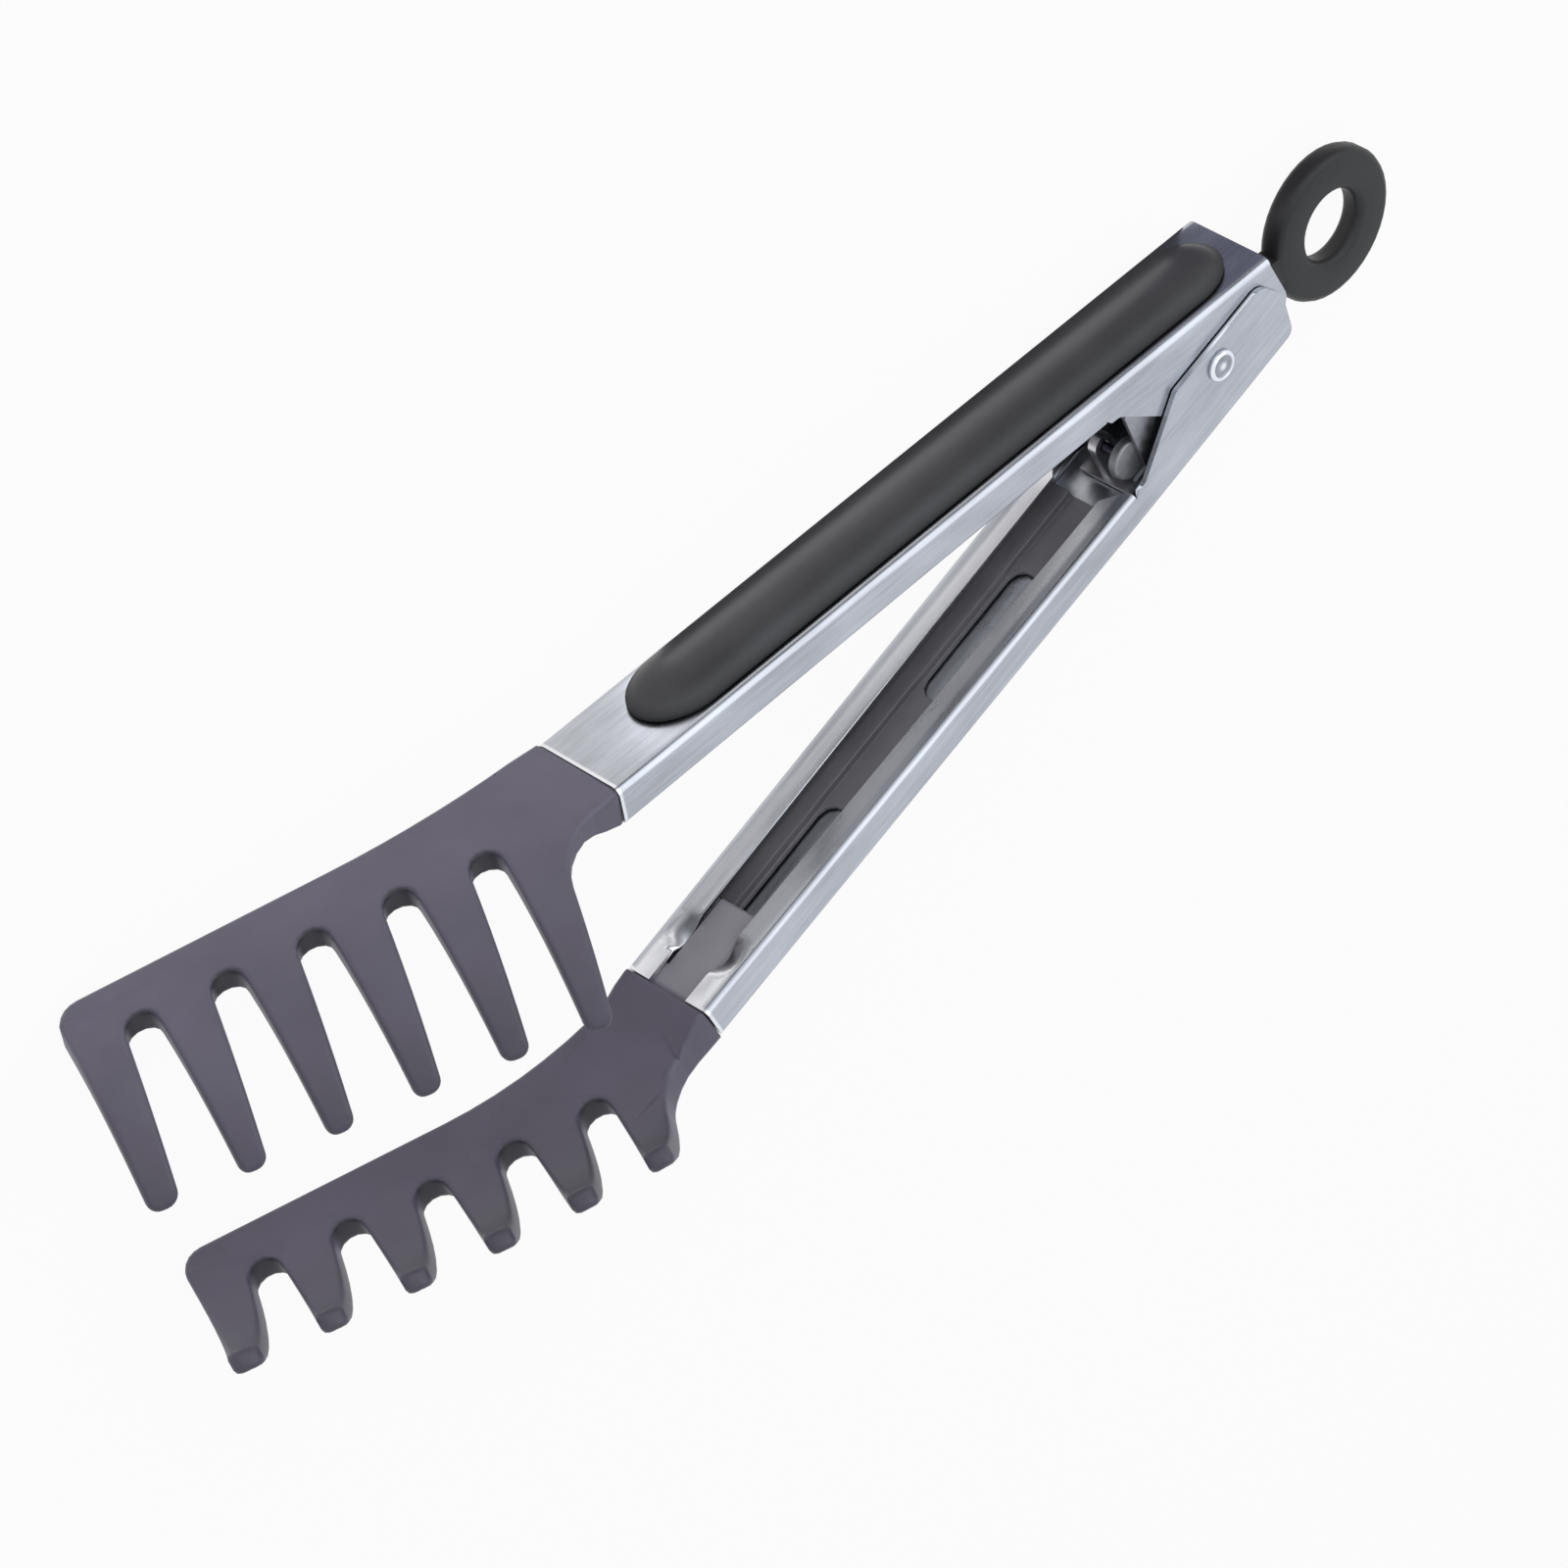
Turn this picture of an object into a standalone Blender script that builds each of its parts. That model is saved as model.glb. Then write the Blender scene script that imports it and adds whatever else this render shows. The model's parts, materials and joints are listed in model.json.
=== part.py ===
"""Locking pasta tongs: two pressed steel arms on one rivet, soft grips, nylon combs, a torsion
spring and a pull-ring lock. Metres, +Z up, lying on one side as on a table, arms open."""

import math

import bmesh
import bpy
from mathutils import Matrix, Vector

# Sheet steel and clearances
SHEET = 0.0008
SEAT_GAP = 0.0003
RUNNING_GAP = 0.0002
CUT_OVERRUN = 0.0020

# Arm: a channel whose web faces out, seen from the rivet's axis
OPEN_ANGLE = math.radians(17.4)
ARM_LENGTH = 0.1254
ARM_BACK = 0.0140
WEB_HEIGHT = 0.0103
WALL_DEPTH = 0.0062
TIP_WALL_DEPTH = 0.0069
ARM_HALF_WIDTH = 0.00835
ARM_HALF_TIP = 0.0084
WEB_BEND = 0.0014
LIP_BEND = 0.0010
LIP_WIDTH = 0.0046
LIP_START = 0.0232
LIP_BEVEL_RUN = 0.0034
LIP_STUB = 0.0016
CRIMP_LENGTH = 0.0080
CRIMP_DEPTH = 0.0018
CRIMP_SETBACK = 0.0050
BEND_STEPS = 4

# Ear: the deep end of a wall, round the rivet
EAR_DROP = 0.0043
EAR_FRONT = 0.0087
EAR_RAMP_END = 0.0205
EAR_TOE = 0.0125
INNER_EAR_BACK = 0.0167
OUTER_EAR_BACK = 0.0150
EAR_BACK_HEIGHT = 0.0011
EAR_ROUND = 0.0030
EAR_SOFT_CORNER = 0.0016

# Rivet and spacer bush
RIVET_RADIUS = 0.0016
RIVET_HEAD_RADIUS = 0.0026
RIVET_HEAD_HEIGHT = 0.0006
RIVET_RIM_WIDTH = 0.0006
RIVET_DISH_DEPTH = 0.0003
BUSH_WALL = 0.0006

# Torsion spring round the bush
SPRING_WIRE_RADIUS = 0.00045
SPRING_PITCH = 0.00140
SPRING_HALF_TURNS = 9
SPRING_POINTS_PER_TURN = 10
SPRING_CLEARANCE = 0.0004
SPRING_LEG_REACH = 0.0140

# Lock carrier: two side plates joined over the ring's neck
CARRIER_SHEET = 0.0007
CARRIER_BACK = 0.0125
CARRIER_TOP = 0.0072
CARRIER_REAR_DROP = 0.0034
CARRIER_MIDDLE_DROP = 0.00375
CARRIER_NOSE_TOP = 0.0017
CARRIER_SHOULDER = 0.0120
CARRIER_HEEL = 0.0091
CARRIER_HEEL_DROP = 0.0089
NOTCH_SETBACK = 0.00196
NOTCH_DROP = 0.00244
NOTCH_UPPER_ANGLE = math.radians(76.5)
NOTCH_LOWER_ANGLE = math.radians(-22.0)
HOOK_LENGTH = 0.0027
HOOK_ROOT = 0.0006
HOOK_TIP = 0.0002
BRIDGE_LENGTH = 0.0050
LOCK_TRAVEL = 0.0040

# Pull ring with its neck
RING_CENTRE = 0.0340
RING_DROP = 0.0005
RING_RADIUS = 0.01275
RING_HOLE_RADIUS = 0.00590
RING_THICKNESS = 0.0042
RING_SEGMENTS = 40
RING_ROUND = 0.0012
NECK_HALF_HEIGHT = 0.0034
NECK_THICKNESS = 0.0036
NECK_FRONT = 0.0052
NECK_SHOULDER = 0.0120
NECK_WAIST = 0.0148
NECK_WAIST_TOP = 0.0014
RING_PIN_BACK = 0.0090
RING_PIN_RADIUS = 0.0010

# Stop on the outer arm: bracket, pin and two flat rollers
STOP_REACH = 0.0192
STOP_HEIGHT = 0.0020
STOP_PIN_RADIUS = 0.00075
ROLLER_RADIUS = 0.00345
ROLLER_WIDTH = 0.0016
BRACKET_THICKNESS = 0.0016
BRACKET_EYE = 0.0020
EYE_ROUND_SHARE = 0.95
BRACKET_FOOT_BACK = 0.0030
BRACKET_FOOT_FRONT = 0.0026
BRACKET_FOOT_HALF_WIDTH = 0.0050

# Grip: a soft pad on the web's outer face, and its hard core inside the channel
GRIP_BACK = 0.0105
GRIP_FRONT = 0.1134
GRIP_HALF_WIDTH = 0.0067
GRIP_END_LENGTH = 0.0095
GRIP_RISE = 0.0038
GRIP_EDGE = 0.0005
GRIP_FULLNESS = 2.5
GRIP_RINGS = 6
GRIP_END_STEPS = 10
CORE_START = 0.0262
CORE_HALF_WIDTH = 0.0065
CORE_BASE = 0.0008
CORE_RAIL_HEIGHT = 0.0021
CORE_GROOVE_HALF = 0.0029
WINDOW_HALF = 0.0025
WINDOW_START_SHARES = (0.172, 0.737)
WINDOW_END_SHARES = (0.474, 1.1)
STUD_SHARES = (0.083, 0.607)
STUD_LENGTH = 0.0080
STUD_HALF_WIDTH = 0.0016
STUD_RISE = 0.0016

# Comb: spine along u, teeth along v, turned away from the arm's line
COMB_TURN = math.radians(26.2)
COMB_PROUD = 0.0001
TANG_LENGTH = 0.0169
TANG_HALF_CENTRE = 0.0035
SPINE_START_DROP = 0.0080
SPINE_CURVE_LENGTH = 0.0345
SPINE_START_SLOPE = 0.44
SPINE_END_SLOPE = 0.038
SPINE_STEPS = 8
COMB_END = 0.0818
COMB_CORNER = 0.0039
TOOTH_COUNT = 6
TOOTH_PITCH = 0.01325
FIRST_SLOT = 0.0706
SLOT_RADIUS = 0.0026
SLOT_DEPTH_LINE = 0.0122
SLOT_LEAN_OUT = 0.0009
SLOT_LEAN_IN = 0.0032
LAST_SLOT_LEAN = 0.0024
SLOT_ARC_STEPS = 7
TOOTH_END = 0.0380
TIP_LINE_SLOPE = 0.040
TIP_ROUND_SHARE = 0.44
END_TOOTH_LEAN = 0.0031
LAST_TOOTH_EDGE = 0.0070
LAST_TOOTH_LEAN = 0.0017
NECK_FILLET = 0.0120
COMB_THICKNESS = 0.0047
TOOTH_TIP_THICKNESS = 0.0033
NECK_FULL_LENGTH = 0.0006
NECK_BLEND_LENGTH = 0.0072
TOOTH_BEND_START = 0.0050
TOOTH_BEND_RADIUS = 0.0350
TILT_START = 0.0060
TILT_BLEND = 0.0320
TILT_SLOPE = 0.145
COMB_EDGE_ROUND = 0.0009
BEND_CUTS = 6
TIP_BAND = 0.0026
NECK_CUTS = 3
CUT_MERGE = 0.00001

# Facets
ROUND_SEGMENTS = 24
FILLET_STEPS = 5
SMOOTH_ANGLE = math.radians(32)
BEVEL_ANGLE = math.radians(50)
LAY_STEPS = 30

COLOURS = {
    "steel": ((0.62, 0.64, 0.68, 1.0), 0.28, 1.0),
    "zinc": ((0.50, 0.51, 0.53, 1.0), 0.35, 1.0),
    "soft_grip": ((0.045, 0.045, 0.048, 1.0), 0.55, 0.0),
    "core_plastic": ((0.060, 0.060, 0.066, 1.0), 0.45, 0.0),
    "nylon": ((0.105, 0.092, 0.118, 1.0), 0.50, 0.0),
    "ring_plastic": ((0.032, 0.032, 0.034, 1.0), 0.42, 0.0),
}

RIM_HEIGHT = WEB_HEIGHT - WALL_DEPTH
TIP_RIM_HEIGHT = WEB_HEIGHT - TIP_WALL_DEPTH
WEB_INSIDE = WEB_HEIGHT - SHEET
FLOOR_SEAT = WEB_INSIDE - SEAT_GAP
OUTER_HALF_WIDTH = ARM_HALF_WIDTH + RUNNING_GAP + SHEET
EAR_INSIDE = ARM_HALF_WIDTH - SHEET
BUSH_BORE = RIVET_RADIUS + RUNNING_GAP
BUSH_RADIUS = BUSH_BORE + BUSH_WALL
PLATE_OUTSIDE = EAR_INSIDE - 2 * RUNNING_GAP
PLATE_INSIDE = PLATE_OUTSIDE - CARRIER_SHEET
ROLLER_FACE = PLATE_INSIDE - RUNNING_GAP
CORE_END = ARM_LENGTH - TANG_LENGTH - SEAT_GAP

# Side of the rivet's axis that an arm lies on
INNER_ARM = -1
OUTER_ARM = 1


def clear_scene():
    for old in list(bpy.data.objects):
        bpy.data.objects.remove(old, do_unlink=True)


def make_material(name):
    colour, roughness, metallic = COLOURS[name]
    material = bpy.data.materials.new(name)
    material.use_nodes = True
    shader = material.node_tree.nodes["Principled BSDF"]
    shader.inputs["Base Color"].default_value = colour
    shader.inputs["Roughness"].default_value = roughness
    shader.inputs["Metallic"].default_value = metallic
    material.diffuse_color = colour
    return material


def add_empty(name, parent=None, turn=0.0):
    empty = bpy.data.objects.new(name, None)
    empty.rotation_euler = (0.0, 0.0, turn)
    empty.parent = parent
    bpy.context.scene.collection.objects.link(empty)
    return empty


def add_object(name, bm, material, parent, smooth=True):
    """Closes a bmesh into an object with outward faces, under an empty on its joint's axis."""
    bmesh.ops.recalc_face_normals(bm, faces=bm.faces)
    mesh = bpy.data.meshes.new(name)
    bm.to_mesh(mesh)
    bm.free()
    if smooth:
        mesh.shade_smooth()
        mesh.set_sharp_from_angle(angle=SMOOTH_ANGLE)
    obj = bpy.data.objects.new(name, mesh)
    if material:
        mesh.materials.append(material)
    obj.parent = parent
    bpy.context.scene.collection.objects.link(obj)
    return obj


def add_cutter(name, bm, parent):
    cutter = add_object(name, bm, None, parent, smooth=False)
    cutter.hide_render = True
    cutter.display_type = "WIRE"
    return cutter


def add_boolean(obj, other, operation="DIFFERENCE"):
    modifier = obj.modifiers.new(other.name, "BOOLEAN")
    modifier.operation = operation
    modifier.solver = "EXACT"
    modifier.object = other


def fillet_outline(corners, steps=FILLET_STEPS):
    """Rounds each (point, radius) corner of a closed outline with an arc."""
    points = []
    count = len(corners)
    for index, (corner, radius) in enumerate(corners):
        here = Vector(corner)
        if not radius:
            points.append(here)
            continue
        before = (Vector(corners[index - 1][0]) - here).normalized()
        after = (Vector(corners[(index + 1) % count][0]) - here).normalized()
        half_turn = before.angle(after) / 2
        reach = radius / math.tan(half_turn)
        middle = (before + after).normalized()
        centre = here + middle * (radius / math.sin(half_turn))
        first = here + before * reach - centre
        last = here + after * reach - centre
        sweep = first.angle_signed(last)
        for step in range(steps + 1):
            turned = first.copy()
            turned.rotate(Matrix.Rotation(-sweep * step / steps, 2))
            points.append(centre + turned)
    return points


def extrude_outline(bm, points, low, high, place):
    """Makes a prism: place(point, depth) gives the corner of an outline point at a depth."""
    bottom = [bm.verts.new(place(point, low)) for point in points]
    top = [bm.verts.new(place(point, high)) for point in points]
    bm.faces.new(bottom)
    bm.faces.new(list(reversed(top)))
    for index in range(len(points)):
        following = (index + 1) % len(points)
        bm.faces.new((bottom[index], top[index], top[following], bottom[following]))


def side_view(side):
    """Outline drawn in (x, height off the rivet's axis), depth along the rivet."""
    return lambda point, depth: (point[0], side * point[1], depth)


def plan_view(side):
    """Outline drawn in (x, z), depth measured off the rivet's axis."""
    return lambda point, depth: (point[0], side * depth, point[1])


def stadium(start, end, half_width, steps=FILLET_STEPS):
    points = []
    for centre, first in ((end - half_width, -math.pi / 2), (start + half_width, math.pi / 2)):
        for step in range(steps + 1):
            angle = first + math.pi * step / steps
            points.append((centre + half_width * math.cos(angle), half_width * math.sin(angle)))
    return points


def circle(centre, radius, segments=ROUND_SEGMENTS):
    return [
        (
            centre[0] + radius * math.cos(2 * math.pi * step / segments),
            centre[1] + radius * math.sin(2 * math.pi * step / segments),
        )
        for step in range(segments)
    ]


def turn_profile(bm, profile, centre, side, segments=ROUND_SEGMENTS, closed=False):
    """Turns (radius, z) points about an axis parallel to the rivet; closed joins last to first."""
    rings = []
    for radius, height in profile:
        if radius:
            rings.append(
                [
                    bm.verts.new((x, side * y, height))
                    for x, y in circle(centre, radius, segments)
                ]
            )
        else:
            rings.append([bm.verts.new((centre[0], side * centre[1], height))])
    pairs = list(zip(rings, rings[1:]))
    if closed:
        pairs.append((rings[-1], rings[0]))
    for lower, upper in pairs:
        for step in range(segments):
            following = (step + 1) % segments
            if len(lower) == 1:
                bm.faces.new((lower[0], upper[step], upper[following]))
            elif len(upper) == 1:
                bm.faces.new((lower[step], lower[following], upper[0]))
            else:
                bm.faces.new(
                    (lower[step], lower[following], upper[following], upper[step])
                )


def half_width_at(x, hinge_half_width):
    """Half the channel's outside width: straight at the ears, then tapering to the comb."""
    share = max(x - LIP_START, 0.0) / (ARM_LENGTH - LIP_START)
    return hinge_half_width + (ARM_HALF_TIP - hinge_half_width) * share


def rim_height_at(x):
    """Height of the lips' outer face: the walls grow deeper toward the comb."""
    share = max(x - LIP_START, 0.0) / (ARM_LENGTH - LIP_START)
    return RIM_HEIGHT + (TIP_RIM_HEIGHT - RIM_HEIGHT) * share


def lip_width_at(x):
    grown_share = min((x - LIP_START) / LIP_BEVEL_RUN, 1.0)
    return LIP_STUB + (LIP_WIDTH - LIP_STUB) * grown_share


def crimp_at(x):
    """How far the lips are pressed in beside the comb's tang."""
    start = ARM_LENGTH - CRIMP_SETBACK - CRIMP_LENGTH
    share = (x - start) / CRIMP_LENGTH
    if not 0.0 < share < 1.0:
        return 0.0
    return CRIMP_DEPTH * math.sin(math.pi * share) ** 2


def half_channel_section(x, hinge_half_width, with_lip):
    """Outside of one half of the channel, (z, height) from the web's bend to the lip's edge."""
    half = half_width_at(x, hinge_half_width)
    section = []
    for step in range(BEND_STEPS + 1):
        angle = math.pi / 2 * step / BEND_STEPS
        section.append(
            (
                half - WEB_BEND + WEB_BEND * math.sin(angle),
                WEB_HEIGHT - WEB_BEND + WEB_BEND * math.cos(angle),
            )
        )
    if not with_lip:
        return section
    press = crimp_at(x)
    rim = rim_height_at(x)
    for step in range(BEND_STEPS + 1):
        angle = math.pi / 2 * step / BEND_STEPS
        section.append(
            (
                half - LIP_BEND + LIP_BEND * math.cos(angle),
                rim + LIP_BEND - LIP_BEND * math.sin(angle),
            )
        )
    lip = lip_width_at(x)
    section.append((half - (LIP_BEND + lip) / 2, rim + press * math.sin(math.pi / 4)))
    section.append((half - lip, rim + press))
    return section


def ear_outline(ear_back):
    """Lower edge of a wall from the lips round the rivet to the web's back end."""
    corners = (
        ((LIP_START, RIM_HEIGHT + LIP_BEND), 0.0),
        ((LIP_START - LIP_BEND, RIM_HEIGHT), 0.0),
        ((EAR_RAMP_END, RIM_HEIGHT), EAR_SOFT_CORNER),
        ((EAR_FRONT, -EAR_DROP), EAR_SOFT_CORNER),
        ((-EAR_TOE, -EAR_DROP), EAR_ROUND),
        ((-ear_back, EAR_BACK_HEIGHT), EAR_ROUND),
        ((-ARM_BACK, WEB_HEIGHT - WEB_BEND), 0.0),
    )
    return fillet_outline(corners)


def build_arm(name, side, hinge_half_width, ear_back, material, parent):
    """Folds one sheet: web, bends, walls with ears, and lips; then gives it its thickness."""
    bm = bmesh.new()
    crimp_start = ARM_LENGTH - CRIMP_SETBACK - CRIMP_LENGTH
    crimp_steps = 2 * BEND_STEPS
    stations = [LIP_START, LIP_START + LIP_BEVEL_RUN, crimp_start]
    stations += [
        crimp_start + CRIMP_LENGTH * (step + 1) / crimp_steps for step in range(crimp_steps)
    ]
    stations.append(ARM_LENGTH)

    def add_row(x, with_lip):
        half = half_channel_section(x, hinge_half_width, with_lip)
        low = [bm.verts.new((x, side * o, -z)) for z, o in reversed(half)]
        high = [bm.verts.new((x, side * o, z)) for z, o in half]
        return low + high

    rows = [add_row(x, True) for x in stations]
    for row, following in zip(rows, rows[1:]):
        for index in range(len(row) - 1):
            bm.faces.new((row[index], row[index + 1], following[index + 1], following[index]))
    bend_points = BEND_STEPS + 1
    centre = len(rows[0]) // 2
    front = rows[0][centre - bend_points : centre + bend_points]
    back = add_row(-ARM_BACK, False)
    for index in range(len(front) - 1):
        bm.faces.new((back[index], back[index + 1], front[index + 1], front[index]))

    ear = ear_outline(ear_back)
    for z_sign, bend_end, back_end, wall_start in (
        (1, front[-1], back[-1], rows[0][centre + bend_points]),
        (-1, front[0], back[0], rows[0][centre - bend_points - 1]),
    ):
        wall_z = z_sign * hinge_half_width
        edge = [bm.verts.new((x, side * o, wall_z)) for x, o in ear[1:-1]]
        bm.faces.new([bend_end, wall_start] + edge + [back_end])

    bmesh.ops.recalc_face_normals(bm, faces=bm.faces)
    web_face = max(bm.faces, key=lambda face: side * face.calc_center_median().y)
    if side * web_face.normal.y < 0:
        bmesh.ops.reverse_faces(bm, faces=bm.faces)
    mesh = bpy.data.meshes.new(name)
    bm.to_mesh(mesh)
    bm.free()
    mesh.shade_smooth()
    mesh.set_sharp_from_angle(angle=SMOOTH_ANGLE)
    mesh.materials.append(material)
    arm = bpy.data.objects.new(name, mesh)
    arm.parent = parent
    bpy.context.scene.collection.objects.link(arm)

    thickness = arm.modifiers.new("sheet", "SOLIDIFY")
    thickness.thickness = SHEET
    thickness.offset = -1
    thickness.use_even_offset = True

    rivet_hole = bmesh.new()
    reach = OUTER_HALF_WIDTH + CUT_OVERRUN
    extrude_outline(
        rivet_hole, circle((0.0, 0.0), RIVET_RADIUS + RUNNING_GAP), -reach, reach, side_view(side)
    )
    add_boolean(arm, add_cutter(name + "_rivet_hole", rivet_hole, parent))
    slots = bmesh.new()
    for share in STUD_SHARES:
        outline = stud_outline(share, SEAT_GAP)
        extrude_outline(
            slots, outline, WEB_INSIDE - CUT_OVERRUN, WEB_HEIGHT + CUT_OVERRUN, plan_view(side)
        )
    add_boolean(arm, add_cutter(name + "_stud_slots", slots, parent))
    return arm


def core_place(share):
    """Distance from the rivet of a share of the core's length."""
    return CORE_START + (CORE_END - CORE_START) * share


def stud_outline(share, clearance):
    half_length = STUD_LENGTH / 2 + clearance
    place = core_place(share)
    return stadium(place - half_length, place + half_length, STUD_HALF_WIDTH + clearance)


def build_grip(name, side, material, parent):
    """A crowned pad with long round ends, pocketed underneath for the core's studs."""
    bm = bmesh.new()
    seat = WEB_HEIGHT + SEAT_GAP
    back_centre = GRIP_END_LENGTH - GRIP_BACK
    front_centre = GRIP_FRONT - GRIP_END_LENGTH

    def ring(width_share, height):
        verts = []
        for centre, first in ((front_centre, -math.pi / 2), (back_centre, math.pi / 2)):
            for step in range(GRIP_END_STEPS + 1):
                angle = first + math.pi * step / GRIP_END_STEPS
                x = centre + GRIP_END_LENGTH * width_share * math.cos(angle)
                z = GRIP_HALF_WIDTH * width_share * math.sin(angle)
                verts.append(bm.verts.new((x, side * height, z)))
        return verts

    rings = [ring(1.0, seat)]
    for step in range(GRIP_RINGS):
        angle = math.pi / 2 * step / GRIP_RINGS
        width_share = math.cos(angle) ** (2 / GRIP_FULLNESS)
        rise_share = math.sin(angle) ** (2 / GRIP_FULLNESS)
        rings.append(ring(width_share, seat + GRIP_EDGE + (GRIP_RISE - GRIP_EDGE) * rise_share))
    for lower, upper in zip(rings, rings[1:]):
        for index in range(len(lower)):
            following = (index + 1) % len(lower)
            bm.faces.new((lower[index], lower[following], upper[following], upper[index]))
    bm.faces.new(rings[0])
    crest = rings[-1]
    half = len(crest) // 2
    ridge = [
        bm.verts.new((x, side * (seat + GRIP_RISE), 0.0)) for x in (front_centre, back_centre)
    ]
    for index in range(half - 1):
        bm.faces.new((crest[index], crest[index + 1], ridge[0]))
        bm.faces.new((crest[half + index], crest[half + index + 1], ridge[1]))
    bm.faces.new((crest[half - 1], crest[half], ridge[1], ridge[0]))
    bm.faces.new((crest[-1], crest[0], ridge[0], ridge[1]))
    grip = add_object(name, bm, material, parent)

    pockets = bmesh.new()
    for share in STUD_SHARES:
        extrude_outline(
            pockets,
            stud_outline(share, SEAT_GAP),
            WEB_HEIGHT - CUT_OVERRUN,
            WEB_HEIGHT + STUD_RISE + SEAT_GAP,
            plan_view(side),
        )
    add_boolean(grip, add_cutter(name + "_pockets", pockets, parent))
    return grip


def build_core(name, side, material, parent):
    """The grip's hard core: a grooved strip with windows to the steel, and studs through the web."""
    bm = bmesh.new()
    base_top = FLOOR_SEAT - CORE_BASE
    rail_top = FLOOR_SEAT - CORE_RAIL_HEIGHT
    section = (
        (-CORE_HALF_WIDTH, FLOOR_SEAT),
        (CORE_HALF_WIDTH, FLOOR_SEAT),
        (CORE_HALF_WIDTH, rail_top),
        (CORE_GROOVE_HALF, rail_top),
        (CORE_GROOVE_HALF, base_top),
        (-CORE_GROOVE_HALF, base_top),
        (-CORE_GROOVE_HALF, rail_top),
        (-CORE_HALF_WIDTH, rail_top),
    )
    extrude_outline(
        bm, section, CORE_START, CORE_END, lambda point, x: (x, side * point[1], point[0])
    )
    core = add_object(name, bm, material, parent)
    windows = bmesh.new()
    for start, end in zip(WINDOW_START_SHARES, WINDOW_END_SHARES):
        extrude_outline(
            windows,
            stadium(core_place(start), core_place(end), WINDOW_HALF),
            base_top - CUT_OVERRUN,
            FLOOR_SEAT + CUT_OVERRUN,
            plan_view(side),
        )
    add_boolean(core, add_cutter(name + "_windows", windows, parent))
    studs = bmesh.new()
    for share in STUD_SHARES:
        extrude_outline(
            studs,
            stud_outline(share, 0.0),
            base_top + CORE_BASE / 2,
            WEB_HEIGHT + STUD_RISE,
            plan_view(side),
        )
    add_boolean(core, add_cutter(name + "_studs", studs, parent), "UNION")
    return core


def comb_to_arm(u, v):
    """Comb plan (u along the spine, v along the teeth) to the arm's (x, z)."""
    cos, sin = math.cos(COMB_TURN), math.sin(COMB_TURN)
    return ARM_LENGTH + SEAT_GAP + u * cos + v * sin, v * cos - u * sin


def arm_to_comb(x, z):
    cos, sin = math.cos(COMB_TURN), math.sin(COMB_TURN)
    run = x - ARM_LENGTH - SEAT_GAP
    return run * cos - z * sin, run * sin + z * cos


def slot_centre(index):
    return FIRST_SLOT - index * TOOTH_PITCH


def tip_line_at(u):
    """Line that the teeth end on: they grow longer toward the neck."""
    return TOOTH_END + TIP_LINE_SLOPE * (COMB_END - u)


def comb_outline():
    """Flat plan of the comb: neck, spine edge, end tooth, slots between teeth, neck fillet."""
    collar = ARM_HALF_TIP + COMB_PROUD
    far_corner = arm_to_comb(ARM_LENGTH + SEAT_GAP, -collar)
    near_corner = arm_to_comb(ARM_LENGTH + SEAT_GAP, collar)
    corners = [(far_corner, 0.0)]
    for step in range(SPINE_STEPS):
        run = SPINE_CURVE_LENGTH * (step + 1) / SPINE_STEPS
        fall = (SPINE_START_SLOPE - SPINE_END_SLOPE) * run * run / (2 * SPINE_CURVE_LENGTH)
        edge = SPINE_START_SLOPE * run - SPINE_START_DROP - fall
        corners.append(((far_corner[0] + run, edge), 0.0))
    straight = COMB_END - far_corner[0] - SPINE_CURVE_LENGTH
    corners.append(((COMB_END, corners[-1][0][1] + SPINE_END_SLOPE * straight), COMB_CORNER))

    left_tip = COMB_END - END_TOOTH_LEAN
    for index in range(TOOTH_COUNT):
        if index < TOOTH_COUNT - 1:
            centre = slot_centre(index)
            right_tip = centre + SLOT_RADIUS + SLOT_LEAN_OUT
        else:
            right_tip = LAST_TOOTH_EDGE + LAST_TOOTH_LEAN
        width = left_tip - right_tip
        round_end = width * TIP_ROUND_SHARE
        corners.append(((left_tip, tip_line_at(left_tip)), round_end))
        corners.append(((right_tip, tip_line_at(right_tip)), round_end))
        if index < TOOTH_COUNT - 1:
            for step in range(SLOT_ARC_STEPS + 1):
                angle = math.pi * step / SLOT_ARC_STEPS
                corners.append(
                    (
                        (
                            centre + SLOT_RADIUS * math.cos(angle),
                            SLOT_DEPTH_LINE - SLOT_RADIUS * math.sin(angle),
                        ),
                        0.0,
                    )
                )
            lean = SLOT_LEAN_IN if index < TOOTH_COUNT - 2 else LAST_SLOT_LEAN
            left_tip = centre - SLOT_RADIUS - lean
    neck_run = (LAST_TOOTH_EDGE - near_corner[0]) / math.cos(COMB_TURN)
    neck_corner = (LAST_TOOTH_EDGE, near_corner[1] + neck_run * math.sin(COMB_TURN))
    corners.append((neck_corner, NECK_FILLET))
    corners.append((near_corner, 0.0))
    return fillet_outline(corners)


def comb_thickness(u, s):
    x, _ = comb_to_arm(u, s)
    blended = (x - ARM_LENGTH - NECK_FULL_LENGTH) / NECK_BLEND_LENGTH
    neck_share = min(max(blended, 0.0), 1.0)
    eased = neck_share * neck_share * (3 - 2 * neck_share)
    full = TIP_WALL_DEPTH + 2 * COMB_PROUD
    plate = full + (COMB_THICKNESS - full) * eased
    tooth_share = max((s - SLOT_DEPTH_LINE) / (TOOTH_END - SLOT_DEPTH_LINE), 0.0)
    return plate - (COMB_THICKNESS - TOOTH_TIP_THICKNESS) * tooth_share


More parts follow.
